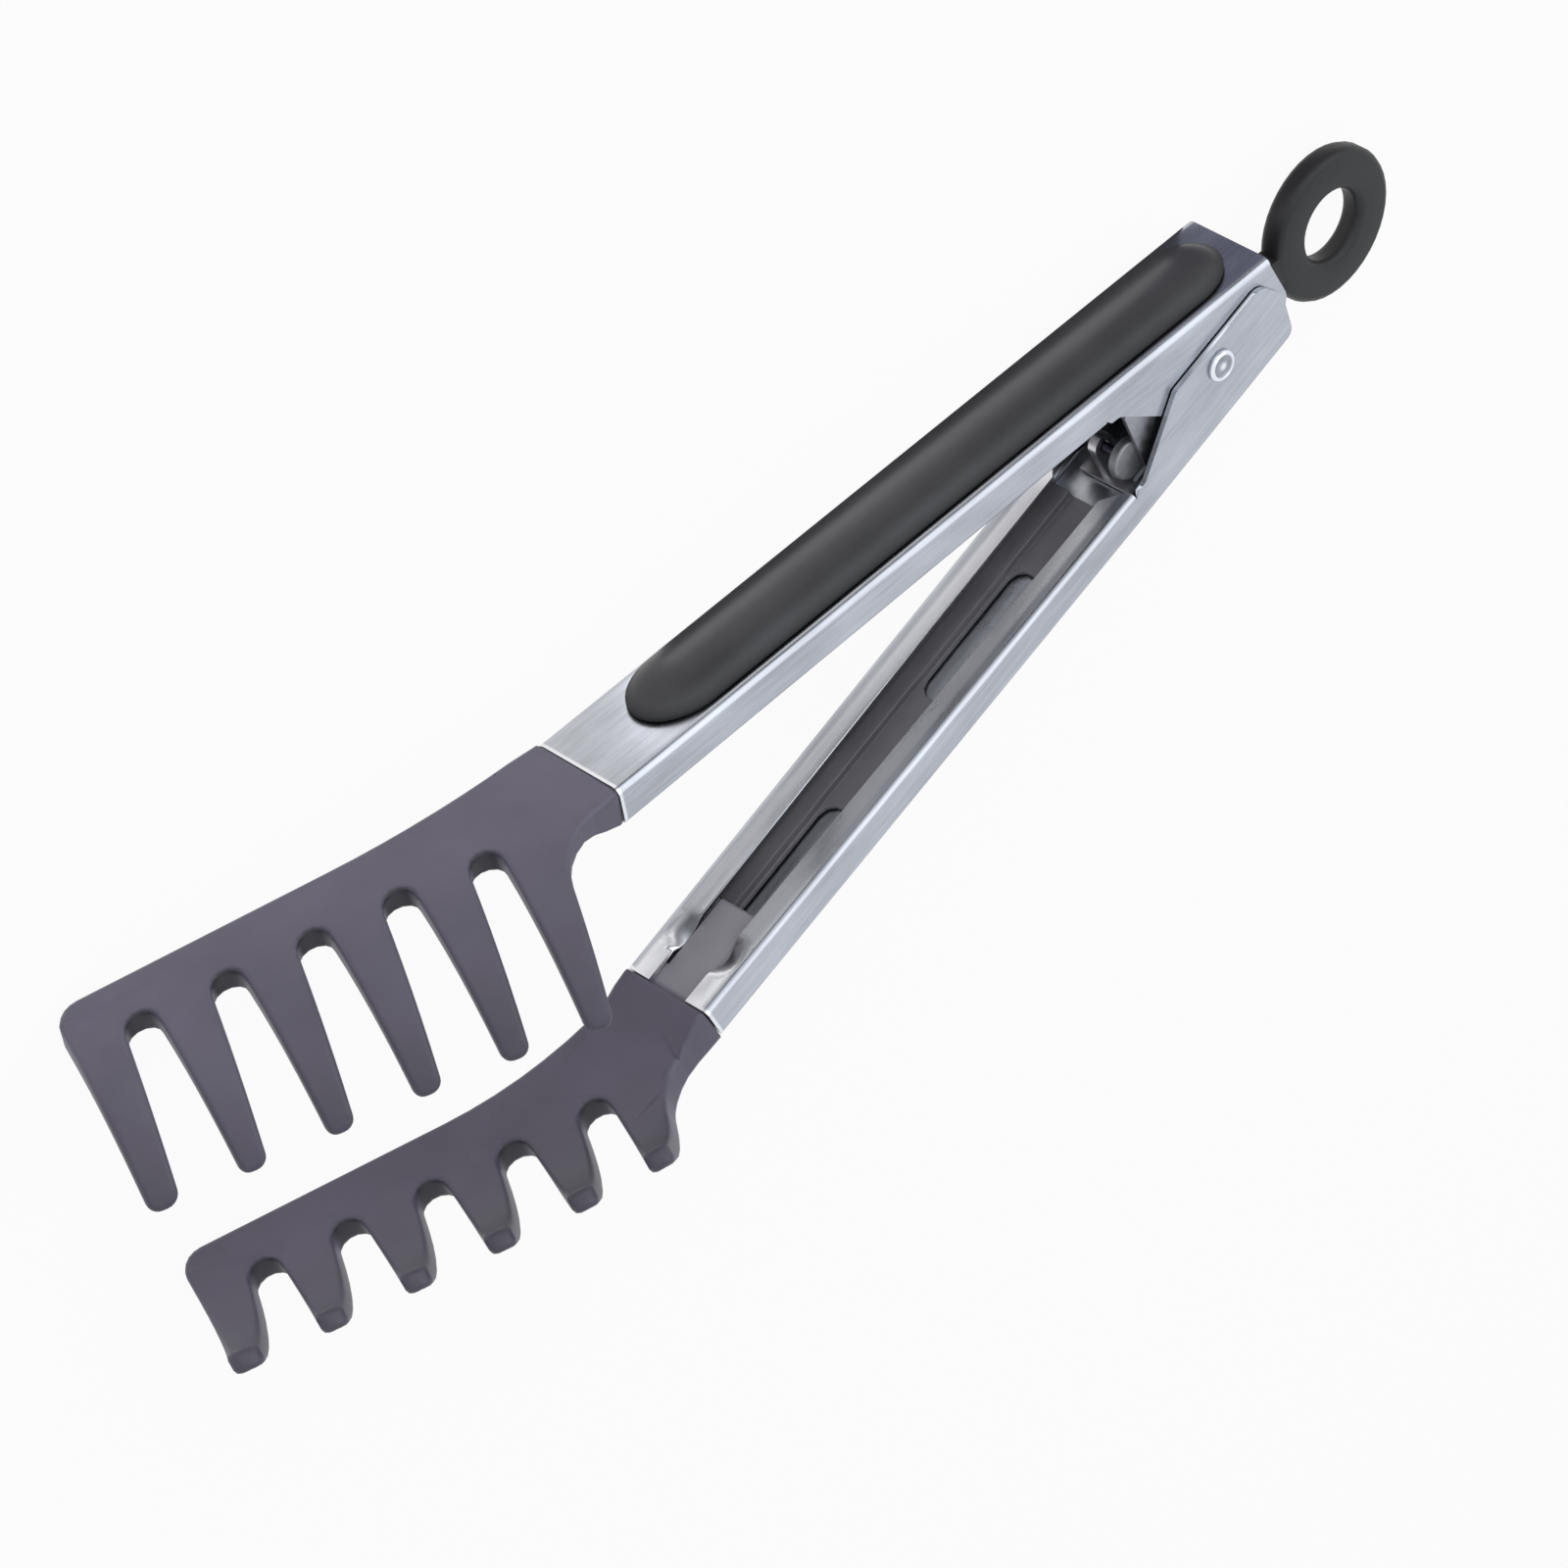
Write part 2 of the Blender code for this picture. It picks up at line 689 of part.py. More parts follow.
def comb_point(u, s, depth, side):
    """Bends the flat plan: teeth curl toward the other arm, and the spine leans that way too."""
    angle = max(s - TOOTH_BEND_START, 0.0) / TOOTH_BEND_RADIUS
    v = min(s, TOOTH_BEND_START) + TOOTH_BEND_RADIUS * math.sin(angle)
    drop = TOOTH_BEND_RADIUS * (1 - math.cos(angle))
    run = max(u - TILT_START, 0.0)
    blended = min(run, TILT_BLEND)
    tilt = TILT_SLOPE * (blended * blended / (2 * TILT_BLEND) + run - blended)
    v -= depth * math.sin(angle)
    height = WEB_HEIGHT + COMB_PROUD - tilt - drop - depth * math.cos(angle)
    x, z = comb_to_arm(u, v)
    return max(x, ARM_LENGTH + SEAT_GAP), side * height, z


def build_comb(name, side, material, parent):
    """Cuts the flat plan into bands, thickens it, bends it, and draws out the tang."""
    bm = bmesh.new()
    bm.faces.new([bm.verts.new((u, s, 0.0)) for u, s in comb_outline()])

    def cut(point, normal, deepest):
        faces = [face for face in bm.faces if face.calc_center_median().y < deepest]
        edges = {edge for face in faces for edge in face.edges}
        verts = {vert for face in faces for vert in face.verts}
        geometry = [*verts, *edges, *faces]
        bmesh.ops.bisect_plane(bm, geom=geometry, plane_co=point, plane_no=normal, dist=CUT_MERGE)

    cut(Vector((0.0, TOOTH_BEND_START, 0.0)), Vector((0.0, 1.0, 0.0)), math.inf)
    for step in range(BEND_CUTS + 1):
        share = step / BEND_CUTS
        level = SLOT_DEPTH_LINE + (TOOTH_END - TIP_BAND - SLOT_DEPTH_LINE) * share
        cut(Vector((COMB_END, level, 0.0)), Vector((TIP_LINE_SLOPE * share, 1.0, 0.0)), math.inf)
    for index in range(TOOTH_COUNT - 1):
        middle = slot_centre(index) - TOOTH_PITCH / 2
        cut(Vector((middle, 0.0, 0.0)), Vector((1.0, 0.0, 0.0)), SLOT_DEPTH_LINE)
    across = Vector((math.cos(COMB_TURN), math.sin(COMB_TURN), 0.0))
    for step in range(NECK_CUTS + 1):
        run = NECK_FULL_LENGTH + NECK_BLEND_LENGTH * step / NECK_CUTS
        cut(across * run, across, SLOT_DEPTH_LINE)
    outer = bm.faces[:]
    copied = bmesh.ops.duplicate(bm, geom=bm.verts[:] + bm.edges[:] + bm.faces[:])
    twins = copied["vert_map"]
    flat = {vert: (vert.co.x, vert.co.y) for face in outer for vert in face.verts}
    border = [edge for edge in bm.edges if edge.is_boundary and edge.verts[0] in flat]
    bmesh.ops.reverse_faces(bm, faces=[face for face in bm.faces if face.verts[0] not in flat])
    for edge in border:
        first, second = edge.verts
        bm.faces.new((first, second, twins[second], twins[first]))
    for vert, (u, s) in flat.items():
        vert.co = comb_point(u, s, 0.0, side)
        twins[vert].co = comb_point(u, s, comb_thickness(u, s), side)
    bmesh.ops.recalc_face_normals(bm, faces=bm.faces)

    neck_end = ARM_LENGTH + SEAT_GAP

    def at_neck_end(item):
        return all(abs(vert.co.x - neck_end) < CUT_MERGE for vert in item.verts)

    back_faces = [face for face in bm.faces if at_neck_end(face)]
    bmesh.ops.inset_region(
        bm, faces=back_faces, thickness=COMB_PROUD + SHEET + SEAT_GAP, use_even_offset=True
    )
    drawn = bmesh.ops.extrude_face_region(bm, geom=back_faces)
    moved = [item for item in drawn["geom"] if isinstance(item, bmesh.types.BMVert)]
    bmesh.ops.translate(bm, verts=moved, vec=(-TANG_LENGTH - SEAT_GAP, 0.0, 0.0))
    bmesh.ops.delete(bm, geom=back_faces, context="FACES")
    bmesh.ops.recalc_face_normals(bm, faces=bm.faces)
    weight = bm.edges.layers.float.new("bevel_weight_edge")
    for edge in bm.edges:
        if edge.is_convex and edge.calc_face_angle() > BEVEL_ANGLE and not at_neck_end(edge):
            edge[weight] = 1.0
    comb = add_object(name, bm, material, parent)

    rounding = comb.modifiers.new("rounded_edges", "BEVEL")
    rounding.width = COMB_EDGE_ROUND
    rounding.segments = 2
    rounding.use_clamp_overlap = False
    rounding.limit_method = "WEIGHT"

    rebates = bmesh.new()
    tang_half = ARM_HALF_TIP + CUT_OVERRUN
    for sign in (-1, 1):
        near, far = sorted((sign * TANG_HALF_CENTRE, sign * tang_half))
        outline = (
            (neck_end - TANG_LENGTH - CUT_OVERRUN, near),
            (neck_end - CRIMP_SETBACK + COMB_EDGE_ROUND, near),
            (neck_end - CRIMP_SETBACK + COMB_EDGE_ROUND, far),
            (neck_end - TANG_LENGTH - CUT_OVERRUN, far),
        )
        extrude_outline(
            rebates,
            outline,
            TIP_RIM_HEIGHT - CUT_OVERRUN,
            TIP_RIM_HEIGHT + SHEET + SEAT_GAP + CRIMP_DEPTH,
            plan_view(side),
        )
    add_boolean(comb, add_cutter(name + "_rebates", rebates, parent))
    return comb


def build_rivet(name, material, parent):
    """A formed rivet: shank, and at each end a flat head with a raised rim and a domed middle."""
    bm = bmesh.new()
    seat = OUTER_HALF_WIDTH + RUNNING_GAP
    top = seat + RIVET_HEAD_HEIGHT
    rim_inside = RIVET_HEAD_RADIUS - RIVET_RIM_WIDTH
    chamfer = RIVET_RIM_WIDTH / 2
    half = [
        (RIVET_RADIUS, seat),
        (RIVET_HEAD_RADIUS, seat),
        (RIVET_HEAD_RADIUS, top - chamfer),
        (RIVET_HEAD_RADIUS - chamfer, top),
        (rim_inside, top),
        (rim_inside - chamfer, top - RIVET_DISH_DEPTH),
        (rim_inside / 2, top - RIVET_DISH_DEPTH / 2),
        (0.0, top - RIVET_DISH_DEPTH / 4),
    ]
    profile = [(radius, -height) for radius, height in reversed(half)] + half
    turn_profile(bm, profile, (0.0, 0.0), 1)
    return add_object(name, bm, material, parent)


def build_tube(name, bore, radius, low, high, centre, side, material, parent):
    bm = bmesh.new()
    profile = [(bore, low), (radius, low), (radius, high), (bore, high)]
    turn_profile(bm, profile, centre, side, closed=True)
    return add_object(name, bm, material, parent)


def build_pin(name, radius, half_length, centre, side, material, parent):
    bm = bmesh.new()
    chamfer = radius / 4
    profile = [
        (0.0, -half_length),
        (radius - chamfer, -half_length),
        (radius, -half_length + chamfer),
        (radius, half_length - chamfer),
        (radius - chamfer, half_length),
        (0.0, half_length),
    ]
    turn_profile(bm, profile, centre, side)
    return add_object(name, bm, material, parent)


def spring_points():
    """Coil round the bush with a straight leg to each arm's web, in the hinge's own frame."""
    radius = BUSH_RADIUS + SPRING_CLEARANCE + SPRING_WIRE_RADIUS
    half_angle = OPEN_ANGLE / 2
    leg_rise = WEB_INSIDE - SEAT_GAP - SPRING_WIRE_RADIUS
    points = []
    turns = SPRING_HALF_TURNS / 2
    count = round(turns * SPRING_POINTS_PER_TURN)
    half_span = SPRING_PITCH * turns / 2
    first_angle = -math.pi / 2 - half_angle
    sweep = 2 * math.pi * turns + OPEN_ANGLE
    for step in range(count + 1):
        share = step / count
        angle = first_angle - sweep * share
        points.append(
            Vector(
                (
                    radius * math.cos(angle),
                    radius * math.sin(angle),
                    half_span * (2 * share - 1),
                )
            )
        )
    lower_leg = Matrix.Rotation(-half_angle, 3, "Z") @ Vector((SPRING_LEG_REACH, -leg_rise, 0.0))
    upper_leg = Matrix.Rotation(half_angle, 3, "Z") @ Vector((SPRING_LEG_REACH, leg_rise, 0.0))
    lower_leg.z = -half_span
    upper_leg.z = half_span
    return [lower_leg] + points + [upper_leg]


def build_spring(name, material, parent):
    curve = bpy.data.curves.new(name, "CURVE")
    curve.dimensions = "3D"
    curve.bevel_depth = SPRING_WIRE_RADIUS
    curve.bevel_resolution = 1
    curve.use_fill_caps = True
    points = spring_points()
    spline = curve.splines.new("POLY")
    spline.points.add(len(points) - 1)
    for target, point in zip(spline.points, points):
        target.co = (*point, 1.0)
    curve.materials.append(material)
    spring = bpy.data.objects.new(name, curve)
    spring.parent = parent
    bpy.context.scene.collection.objects.link(spring)
    print_self_gap(name, points, SPRING_WIRE_RADIUS)
    return spring


def print_self_gap(name, points, radius):
    """Least distance between stretches of the wire that are at least half a turn apart."""
    apart = SPRING_POINTS_PER_TURN // 2
    least = min(
        (first - second).length
        for index, first in enumerate(points)
        for second in points[index + apart :]
    )
    print(f"{name}: least gap between turns {(least - 2 * radius) * 1000:.2f} mm")


def notch_corners():
    """Notch round the stop pin's ends at rest: its apex, hook tip and nose, (x, height)."""
    pin = Matrix.Rotation(OPEN_ANGLE, 2) @ Vector((STOP_REACH, STOP_HEIGHT))
    apex = Vector((pin.x - NOTCH_SETBACK, -pin.y - NOTCH_DROP))
    hook = Vector((math.cos(NOTCH_LOWER_ANGLE), math.sin(NOTCH_LOWER_ANGLE)))
    tip = apex + HOOK_LENGTH * hook
    nose = (apex.x + (CARRIER_NOSE_TOP - apex.y) / math.tan(NOTCH_UPPER_ANGLE), CARRIER_NOSE_TOP)
    return apex, tip, nose


def build_carrier(name, material, parent):
    """Lock carrier: two notched side plates that slide past the bush, bridged at the back."""
    apex, tip, nose = notch_corners()
    hook_base = tip.y - HOOK_TIP
    corners = (
        ((-CARRIER_BACK, CARRIER_TOP), 0.0),
        ((-CARRIER_BACK, -CARRIER_REAR_DROP), EAR_SOFT_CORNER),
        ((0.0, -CARRIER_MIDDLE_DROP), 0.0),
        ((CARRIER_HEEL, -CARRIER_HEEL_DROP), EAR_SOFT_CORNER),
        ((apex.x, apex.y - HOOK_ROOT), 0.0),
        ((tip.x, hook_base), 0.0),
        (tuple(tip), 0.0),
        (tuple(apex), 0.0),
        (nose, 0.0),
        ((CARRIER_SHOULDER, CARRIER_TOP), EAR_SOFT_CORNER),
    )
    outline = fillet_outline(corners)
    bm = bmesh.new()
    place = side_view(INNER_ARM)
    extrude_outline(bm, outline, -PLATE_OUTSIDE, PLATE_OUTSIDE, place)
    carrier = add_object(name, bm, material, parent, smooth=False)
    inside = bmesh.new()
    corners = (
        (-CARRIER_BACK - CUT_OVERRUN, CARRIER_TOP - CARRIER_SHEET),
        (BRIDGE_LENGTH - CARRIER_BACK, CARRIER_TOP - CARRIER_SHEET),
        (BRIDGE_LENGTH - CARRIER_BACK, CARRIER_TOP + CUT_OVERRUN),
        (tip.x + CUT_OVERRUN, CARRIER_TOP + CUT_OVERRUN),
        (tip.x + CUT_OVERRUN, hook_base - CUT_OVERRUN),
        (-CARRIER_BACK - CUT_OVERRUN, hook_base - CUT_OVERRUN),
    )
    extrude_outline(inside, corners, -PLATE_INSIDE, PLATE_INSIDE, place)
    add_boolean(carrier, add_cutter(name + "_inside", inside, parent))
    holes = bmesh.new()
    slot_half = BUSH_RADIUS + SEAT_GAP
    reach = PLATE_OUTSIDE + CUT_OVERRUN
    extrude_outline(
        holes, stadium(-slot_half, slot_half + LOCK_TRAVEL, slot_half), -reach, reach, place
    )
    pin_hole = circle((-RING_PIN_BACK, 0.0), RING_PIN_RADIUS + RUNNING_GAP)
    extrude_outline(holes, pin_hole, -reach, reach, place)
    add_boolean(carrier, add_cutter(name + "_holes", holes, parent))
    return carrier


def build_pull_ring(name, material, parent):
    """A flat round ring with a stepped, rounded rim, moulded with its neck."""
    bm = bmesh.new()
    half = RING_THICKNESS / 2
    profile = [
        (RING_HOLE_RADIUS, -half + RING_ROUND),
        (RING_HOLE_RADIUS + RING_ROUND / 3, -half + RING_ROUND / 3),
        (RING_HOLE_RADIUS + RING_ROUND, -half),
        (RING_RADIUS - RING_ROUND, -half),
        (RING_RADIUS - RING_ROUND / 3, -half + RING_ROUND / 3),
        (RING_RADIUS, -half + RING_ROUND),
    ]
    profile += [(radius, -height) for radius, height in reversed(profile)]
    turn_profile(bm, profile, (-RING_CENTRE, -RING_DROP), INNER_ARM, RING_SEGMENTS, closed=True)
    ring = add_object(name, bm, material, parent)
    neck = bmesh.new()
    neck_back = (RING_RADIUS + RING_HOLE_RADIUS) / 2 - RING_CENTRE
    corners = (
        ((neck_back, NECK_WAIST_TOP), 0.0),
        ((neck_back, -NECK_HALF_HEIGHT), 0.0),
        ((-NECK_FRONT, -NECK_HALF_HEIGHT), EAR_SOFT_CORNER),
        ((-NECK_FRONT, NECK_HALF_HEIGHT), EAR_SOFT_CORNER),
        ((-NECK_SHOULDER, NECK_HALF_HEIGHT), 0.0),
        ((-NECK_WAIST, NECK_WAIST_TOP), 0.0),
    )
    outline = fillet_outline(corners)
    extrude_outline(
        neck, outline, -NECK_THICKNESS / 2, NECK_THICKNESS / 2, side_view(INNER_ARM)
    )
    add_boolean(ring, add_cutter(name + "_neck", neck, parent), "UNION")
    hole = bmesh.new()
    reach = NECK_THICKNESS / 2 + CUT_OVERRUN
    extrude_outline(
        hole,
        circle((-RING_PIN_BACK, 0.0), RING_PIN_RADIUS + RUNNING_GAP),
        -reach,
        reach,
        side_view(INNER_ARM),
    )
    add_boolean(ring, add_cutter(name + "_pin_hole", hole, parent))
    return ring


def build_stop_bracket(name, material, parent):
    """A standing lug with an eye for the stop pin, on a foot that lies on the outer arm's web."""
    bm = bmesh.new()
    place = side_view(OUTER_ARM)
    foot_top = FLOOR_SEAT - SHEET
    corners = (
        ((STOP_REACH - BRACKET_EYE, FLOOR_SEAT), 0.0),
        ((STOP_REACH + BRACKET_EYE, FLOOR_SEAT), 0.0),
        ((STOP_REACH + BRACKET_EYE, STOP_HEIGHT - BRACKET_EYE), BRACKET_EYE * EYE_ROUND_SHARE),
        ((STOP_REACH - BRACKET_EYE, STOP_HEIGHT - BRACKET_EYE), BRACKET_EYE * EYE_ROUND_SHARE),
    )
    outline = fillet_outline(corners)
    extrude_outline(bm, outline, -BRACKET_THICKNESS / 2, BRACKET_THICKNESS / 2, place)
    bracket = add_object(name, bm, material, parent)
    foot = bmesh.new()
    corners = (
        (STOP_REACH - BRACKET_FOOT_BACK, foot_top),
        (STOP_REACH + BRACKET_FOOT_FRONT, foot_top),
        (STOP_REACH + BRACKET_FOOT_FRONT, FLOOR_SEAT),
        (STOP_REACH - BRACKET_FOOT_BACK, FLOOR_SEAT),
    )
    extrude_outline(foot, corners, -BRACKET_FOOT_HALF_WIDTH, BRACKET_FOOT_HALF_WIDTH, place)
    add_boolean(bracket, add_cutter(name + "_foot", foot, parent), "UNION")
    eye = bmesh.new()
    reach = BRACKET_THICKNESS / 2 + CUT_OVERRUN
    extrude_outline(
        eye,
        circle((STOP_REACH, STOP_HEIGHT), STOP_PIN_RADIUS + RUNNING_GAP),
        -reach,
        reach,
        place,
    )
    add_boolean(bracket, add_cutter(name + "_eye", eye, parent))
    return bracket


def build_roller(name, sign, material, parent):
    """A flat roller on the stop pin, close inside one plate of the carrier."""
    bm = bmesh.new()
    bore = STOP_PIN_RADIUS + RUNNING_GAP
    chamfer = ROLLER_WIDTH / 6
    profile = [
        (bore, ROLLER_FACE),
        (bore, ROLLER_FACE - ROLLER_WIDTH),
        (ROLLER_RADIUS, ROLLER_FACE - ROLLER_WIDTH),
        (ROLLER_RADIUS, ROLLER_FACE - chamfer),
        (ROLLER_RADIUS - chamfer, ROLLER_FACE),
    ]
    turned = [(radius, sign * height) for radius, height in profile]
    turn_profile(bm, turned, (STOP_REACH, STOP_HEIGHT), OUTER_ARM, closed=True)
    return add_object(name, bm, material, parent)


def world_points(objects):
    graph = bpy.context.evaluated_depsgraph_get()
    points = []
    for obj in objects:
        evaluated = obj.evaluated_get(graph)
        mesh = evaluated.to_mesh()
        points += [evaluated.matrix_world @ vert.co for vert in mesh.vertices]
        evaluated.to_mesh_clear()
    return points


def lay_on_side(tongs, combs, others):
    """Tips the tongs about Y until combs and hinge end share one level, then centres the base."""
    bpy.context.view_layer.update()
    comb_points = world_points(combs)
    other_points = world_points(others)

    def lowest(points, angle):
        return min(point.z * math.cos(angle) + point.x * math.sin(angle) for point in points)

    low, high = 0.0, math.pi / 4
    for _ in range(LAY_STEPS):
        middle = (low + high) / 2
        if lowest(comb_points, middle) < lowest(other_points, middle):
            low = middle
        else:
            high = middle
    tongs.rotation_euler = (0.0, -high, 0.0)
    bpy.context.view_layer.update()
    points = world_points(combs + others)
    corners = [(min(axis), max(axis)) for axis in zip(*points)]
    tongs.location = (
        -sum(corners[0]) / 2,
        -sum(corners[1]) / 2,
        -corners[2][0],
    )
    bpy.context.view_layer.update()


def main():
    clear_scene()
    materials = {name: make_material(name) for name in COLOURS}
    steel, zinc = materials["steel"], materials["zinc"]
    tongs = add_empty("tongs")
    arms = {
        INNER_ARM: add_empty("inner_arm_axis", tongs, -OPEN_ANGLE / 2),
        OUTER_ARM: add_empty("outer_arm_axis", tongs, OPEN_ANGLE / 2),
    }
    lock = add_empty("lock_axis", arms[INNER_ARM])
    widths = {INNER_ARM: ARM_HALF_WIDTH, OUTER_ARM: OUTER_HALF_WIDTH}
    backs = {INNER_ARM: INNER_EAR_BACK, OUTER_ARM: OUTER_EAR_BACK}
    parts, combs = [], []
    for side, word in ((INNER_ARM, "inner"), (OUTER_ARM, "outer")):
        parts.append(
            build_arm(word + "_arm", side, widths[side], backs[side], steel, arms[side])
        )
        parts.append(build_grip(word + "_grip", side, materials["soft_grip"], arms[side]))
        parts.append(build_core(word + "_grip_core", side, materials["core_plastic"], arms[side]))
        combs.append(build_comb(word + "_comb", side, materials["nylon"], arms[side]))
    inner = arms[INNER_ARM]
    outer = arms[OUTER_ARM]
    parts.append(build_rivet("hinge_rivet", steel, tongs))
    bush_half = EAR_INSIDE - RUNNING_GAP
    parts.append(
        build_tube(
            "spacer_bush", BUSH_BORE, BUSH_RADIUS, -bush_half, bush_half, (0.0, 0.0), 1, zinc, tongs
        )
    )
    parts.append(build_spring("torsion_spring", steel, tongs))
    parts.append(build_carrier("lock_carrier", zinc, lock))
    parts.append(build_pull_ring("pull_ring", materials["ring_plastic"], lock))
    ring_pin_place = (-RING_PIN_BACK, 0.0)
    parts.append(
        build_pin("ring_pin", RING_PIN_RADIUS, PLATE_OUTSIDE, ring_pin_place, INNER_ARM, steel, lock)
    )
    parts.append(build_stop_bracket("stop_bracket", zinc, outer))
    stop_place = (STOP_REACH, STOP_HEIGHT)
    parts.append(
        build_pin("stop_pin", STOP_PIN_RADIUS, PLATE_OUTSIDE, stop_place, OUTER_ARM, steel, outer)
    )
    parts.append(build_roller("near_roller", 1, zinc, outer))
    parts.append(build_roller("far_roller", -1, zinc, outer))
    lay_on_side(tongs, combs, parts)
    hinge = tongs.matrix_world
    slide = inner.matrix_world.to_3x3() @ Vector((-1.0, 0.0, 0.0))
    print("hinge point", [round(value, 6) for value in hinge.translation])
    print("hinge axis", [round(value, 6) for value in hinge.to_3x3() @ Vector((0.0, 0.0, 1.0))])
    print("lock slide axis", [round(value, 6) for value in slide])
    points = world_points(parts + combs)
    print("size", [round(max(axis) - min(axis), 5) for axis in zip(*points)])


main()
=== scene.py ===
"""Locking pasta tongs on a pale floor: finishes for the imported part, studio light and camera."""

import json
import math

import bmesh
import bpy
from mathutils import Matrix, Vector


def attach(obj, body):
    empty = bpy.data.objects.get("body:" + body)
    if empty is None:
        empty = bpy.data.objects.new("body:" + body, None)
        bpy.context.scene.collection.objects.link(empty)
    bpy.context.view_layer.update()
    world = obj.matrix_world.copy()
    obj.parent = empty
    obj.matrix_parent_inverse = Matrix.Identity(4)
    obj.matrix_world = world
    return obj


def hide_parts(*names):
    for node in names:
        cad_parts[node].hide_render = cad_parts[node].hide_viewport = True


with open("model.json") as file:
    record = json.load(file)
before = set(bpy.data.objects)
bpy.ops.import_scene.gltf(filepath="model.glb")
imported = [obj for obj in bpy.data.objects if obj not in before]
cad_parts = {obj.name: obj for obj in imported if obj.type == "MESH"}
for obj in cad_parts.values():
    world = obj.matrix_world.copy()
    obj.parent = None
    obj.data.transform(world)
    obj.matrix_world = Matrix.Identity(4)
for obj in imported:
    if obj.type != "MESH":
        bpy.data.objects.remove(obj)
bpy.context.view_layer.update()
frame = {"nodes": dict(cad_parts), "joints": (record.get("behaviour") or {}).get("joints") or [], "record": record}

# Camera fitted to the photograph, in the hinge's own frame
CAMERA_PLACE = Vector((0.5070, -0.8979, 0.7052))
CAMERA_RIGHT = Vector((-0.65899, 0.25019, 0.70932))
CAMERA_UP = Vector((-0.67084, -0.62199, -0.40385))
CAMERA_BACK = Vector((0.34016, -0.74198, 0.57772))
FOCAL_SHARE = 8473.0 / 1600.0
SENSOR_WIDTH = 36.0
CAMERA_NEAR = 0.05
CAMERA_FAR = 50.0

# Colours, linear
BLACK = (0.0, 0.0, 0.0)
STEEL = (0.580, 0.600, 0.645)
STEEL_DIM = tuple(channel * 0.72 for channel in STEEL)
# Painted shade for the crimps' dents and the near lip, and a painted highlight for the lips and cut end
SHADE_STEEL = (0.16, 0.16, 0.18)
HIGHLIGHT_STEEL = (0.95, 0.95, 0.97)
PIN_STEEL = (0.66, 0.68, 0.72)
# Painted highlight of the rivet's rim and middle, and painted shade of the ring in its dish
RIVET_HIGHLIGHT = (0.88, 0.90, 0.94)
RIVET_DISH_SHADE = (0.30, 0.31, 0.35)
NYLON = (0.132, 0.119, 0.164)
NYLON_DARK = (0.108, 0.097, 0.134)
# Painted sheen on a comb's tang
PAINTED_TANG_SHEEN = (0.270, 0.256, 0.290)
SOFT_BLACK = (0.036, 0.036, 0.038)
SOFT_BLACK_PALE = (0.046, 0.046, 0.050)
# Painted shade at a pad's foot, where it meets the steel
PAD_FOOT_SHADE = (0.008, 0.008, 0.009)
CORE_GREY = (0.140, 0.137, 0.152)
CORE_GREY_PALE = (0.180, 0.176, 0.194)
RING_BLACK = (0.018, 0.018, 0.019)
RING_BLACK_PALE = (0.025, 0.025, 0.026)
ZINC = (0.42, 0.42, 0.45)
# Painted highlight on the stop bracket's zinc
HIGHLIT_ZINC = (0.74, 0.74, 0.77)
DULL_ZINC = (0.36, 0.36, 0.38)
# Painted shade on the zinc parts deep in the lock
SHADED_ZINC = (0.070, 0.064, 0.092)
SPRING_WIRE = (0.22, 0.21, 0.25)

# Parts of a noise's range that carry a finish from its first look to its second
COLOUR_SPAN = (0.35, 0.65)
ROUGH_SPAN = (0.3, 0.7)

# Brushed steel: hairlines and patches per metre along and across the arm
FINE_HAIRLINES = (90.0, 3600.0, 3600.0)
COARSE_HAIRLINES = (30.0, 1100.0, 1100.0)
STEEL_PATCHES = (60.0, 190.0, 190.0)
FINE_SHARE = 0.70
STREAK_SHARE = 0.55
STEEL_TONE_SPAN = (0.38, 0.62)
STEEL_ROUGHNESS = (0.23, 0.32)
STEEL_RELIEF = 0.00004

# Crimps, lips and cut end of an arm, with painted shade in the dents and on the near lip and painted highlights on
# the lips and cut end: spans in metres in the arm's own frame, and strengths
DENT_START = (0.1118, 0.1138)
DENT_END = (0.1152, 0.1178)
DENT_HALF_WIDTH = (0.0054, 0.0068)
DENT_DEPTH = (0.0064, 0.0070)
DENT_STRENGTH = 0.85
DENT_ROUGHNESS = 0.30
LIP_END = (0.1160, 0.1180)
LIP_END_HIGHLIGHT = 0.8
LIP_HIGHLIGHT_FADE = (0.050, 0.100)
LIP_HIGHLIGHT = (0.85, 0.15)
LIP_FACE = (0.0050, 0.0056)
LIP_HALF_WIDTH = (0.0066, 0.0073)
NEAR_LIP_START = (0.078, 0.098)
NEAR_LIP_SIDE = (0.0, 0.001)
NEAR_LIP_SHADE = 0.55
CUT_END = (0.1247, 0.1250)
CUT_END_HIGHLIGHT = 0.8

# Moulded plastics: clouds, pits and grains per metre
CLOUDS = 60.0
PITS = 260.0
PIT_RIM = (0.05, 0.16)
PIT_DEPTH = 0.8
PLASTIC_GRAIN = 2500.0
PAD_GRAIN = 3500.0
NYLON_GRAIN = 1800.0
SKIN_RELIEF = 0.00005
PLASTIC_ROUGH_SPREAD = 0.03
NYLON_ROUGHNESS = (0.43, 0.49)
# Height of a pad's foot, which gets painted shade, and the pad's roughness
PAD_FOOT_SPAN = (0.0104, 0.0124)
PAD_ROUGHNESS = (0.36, 0.85)

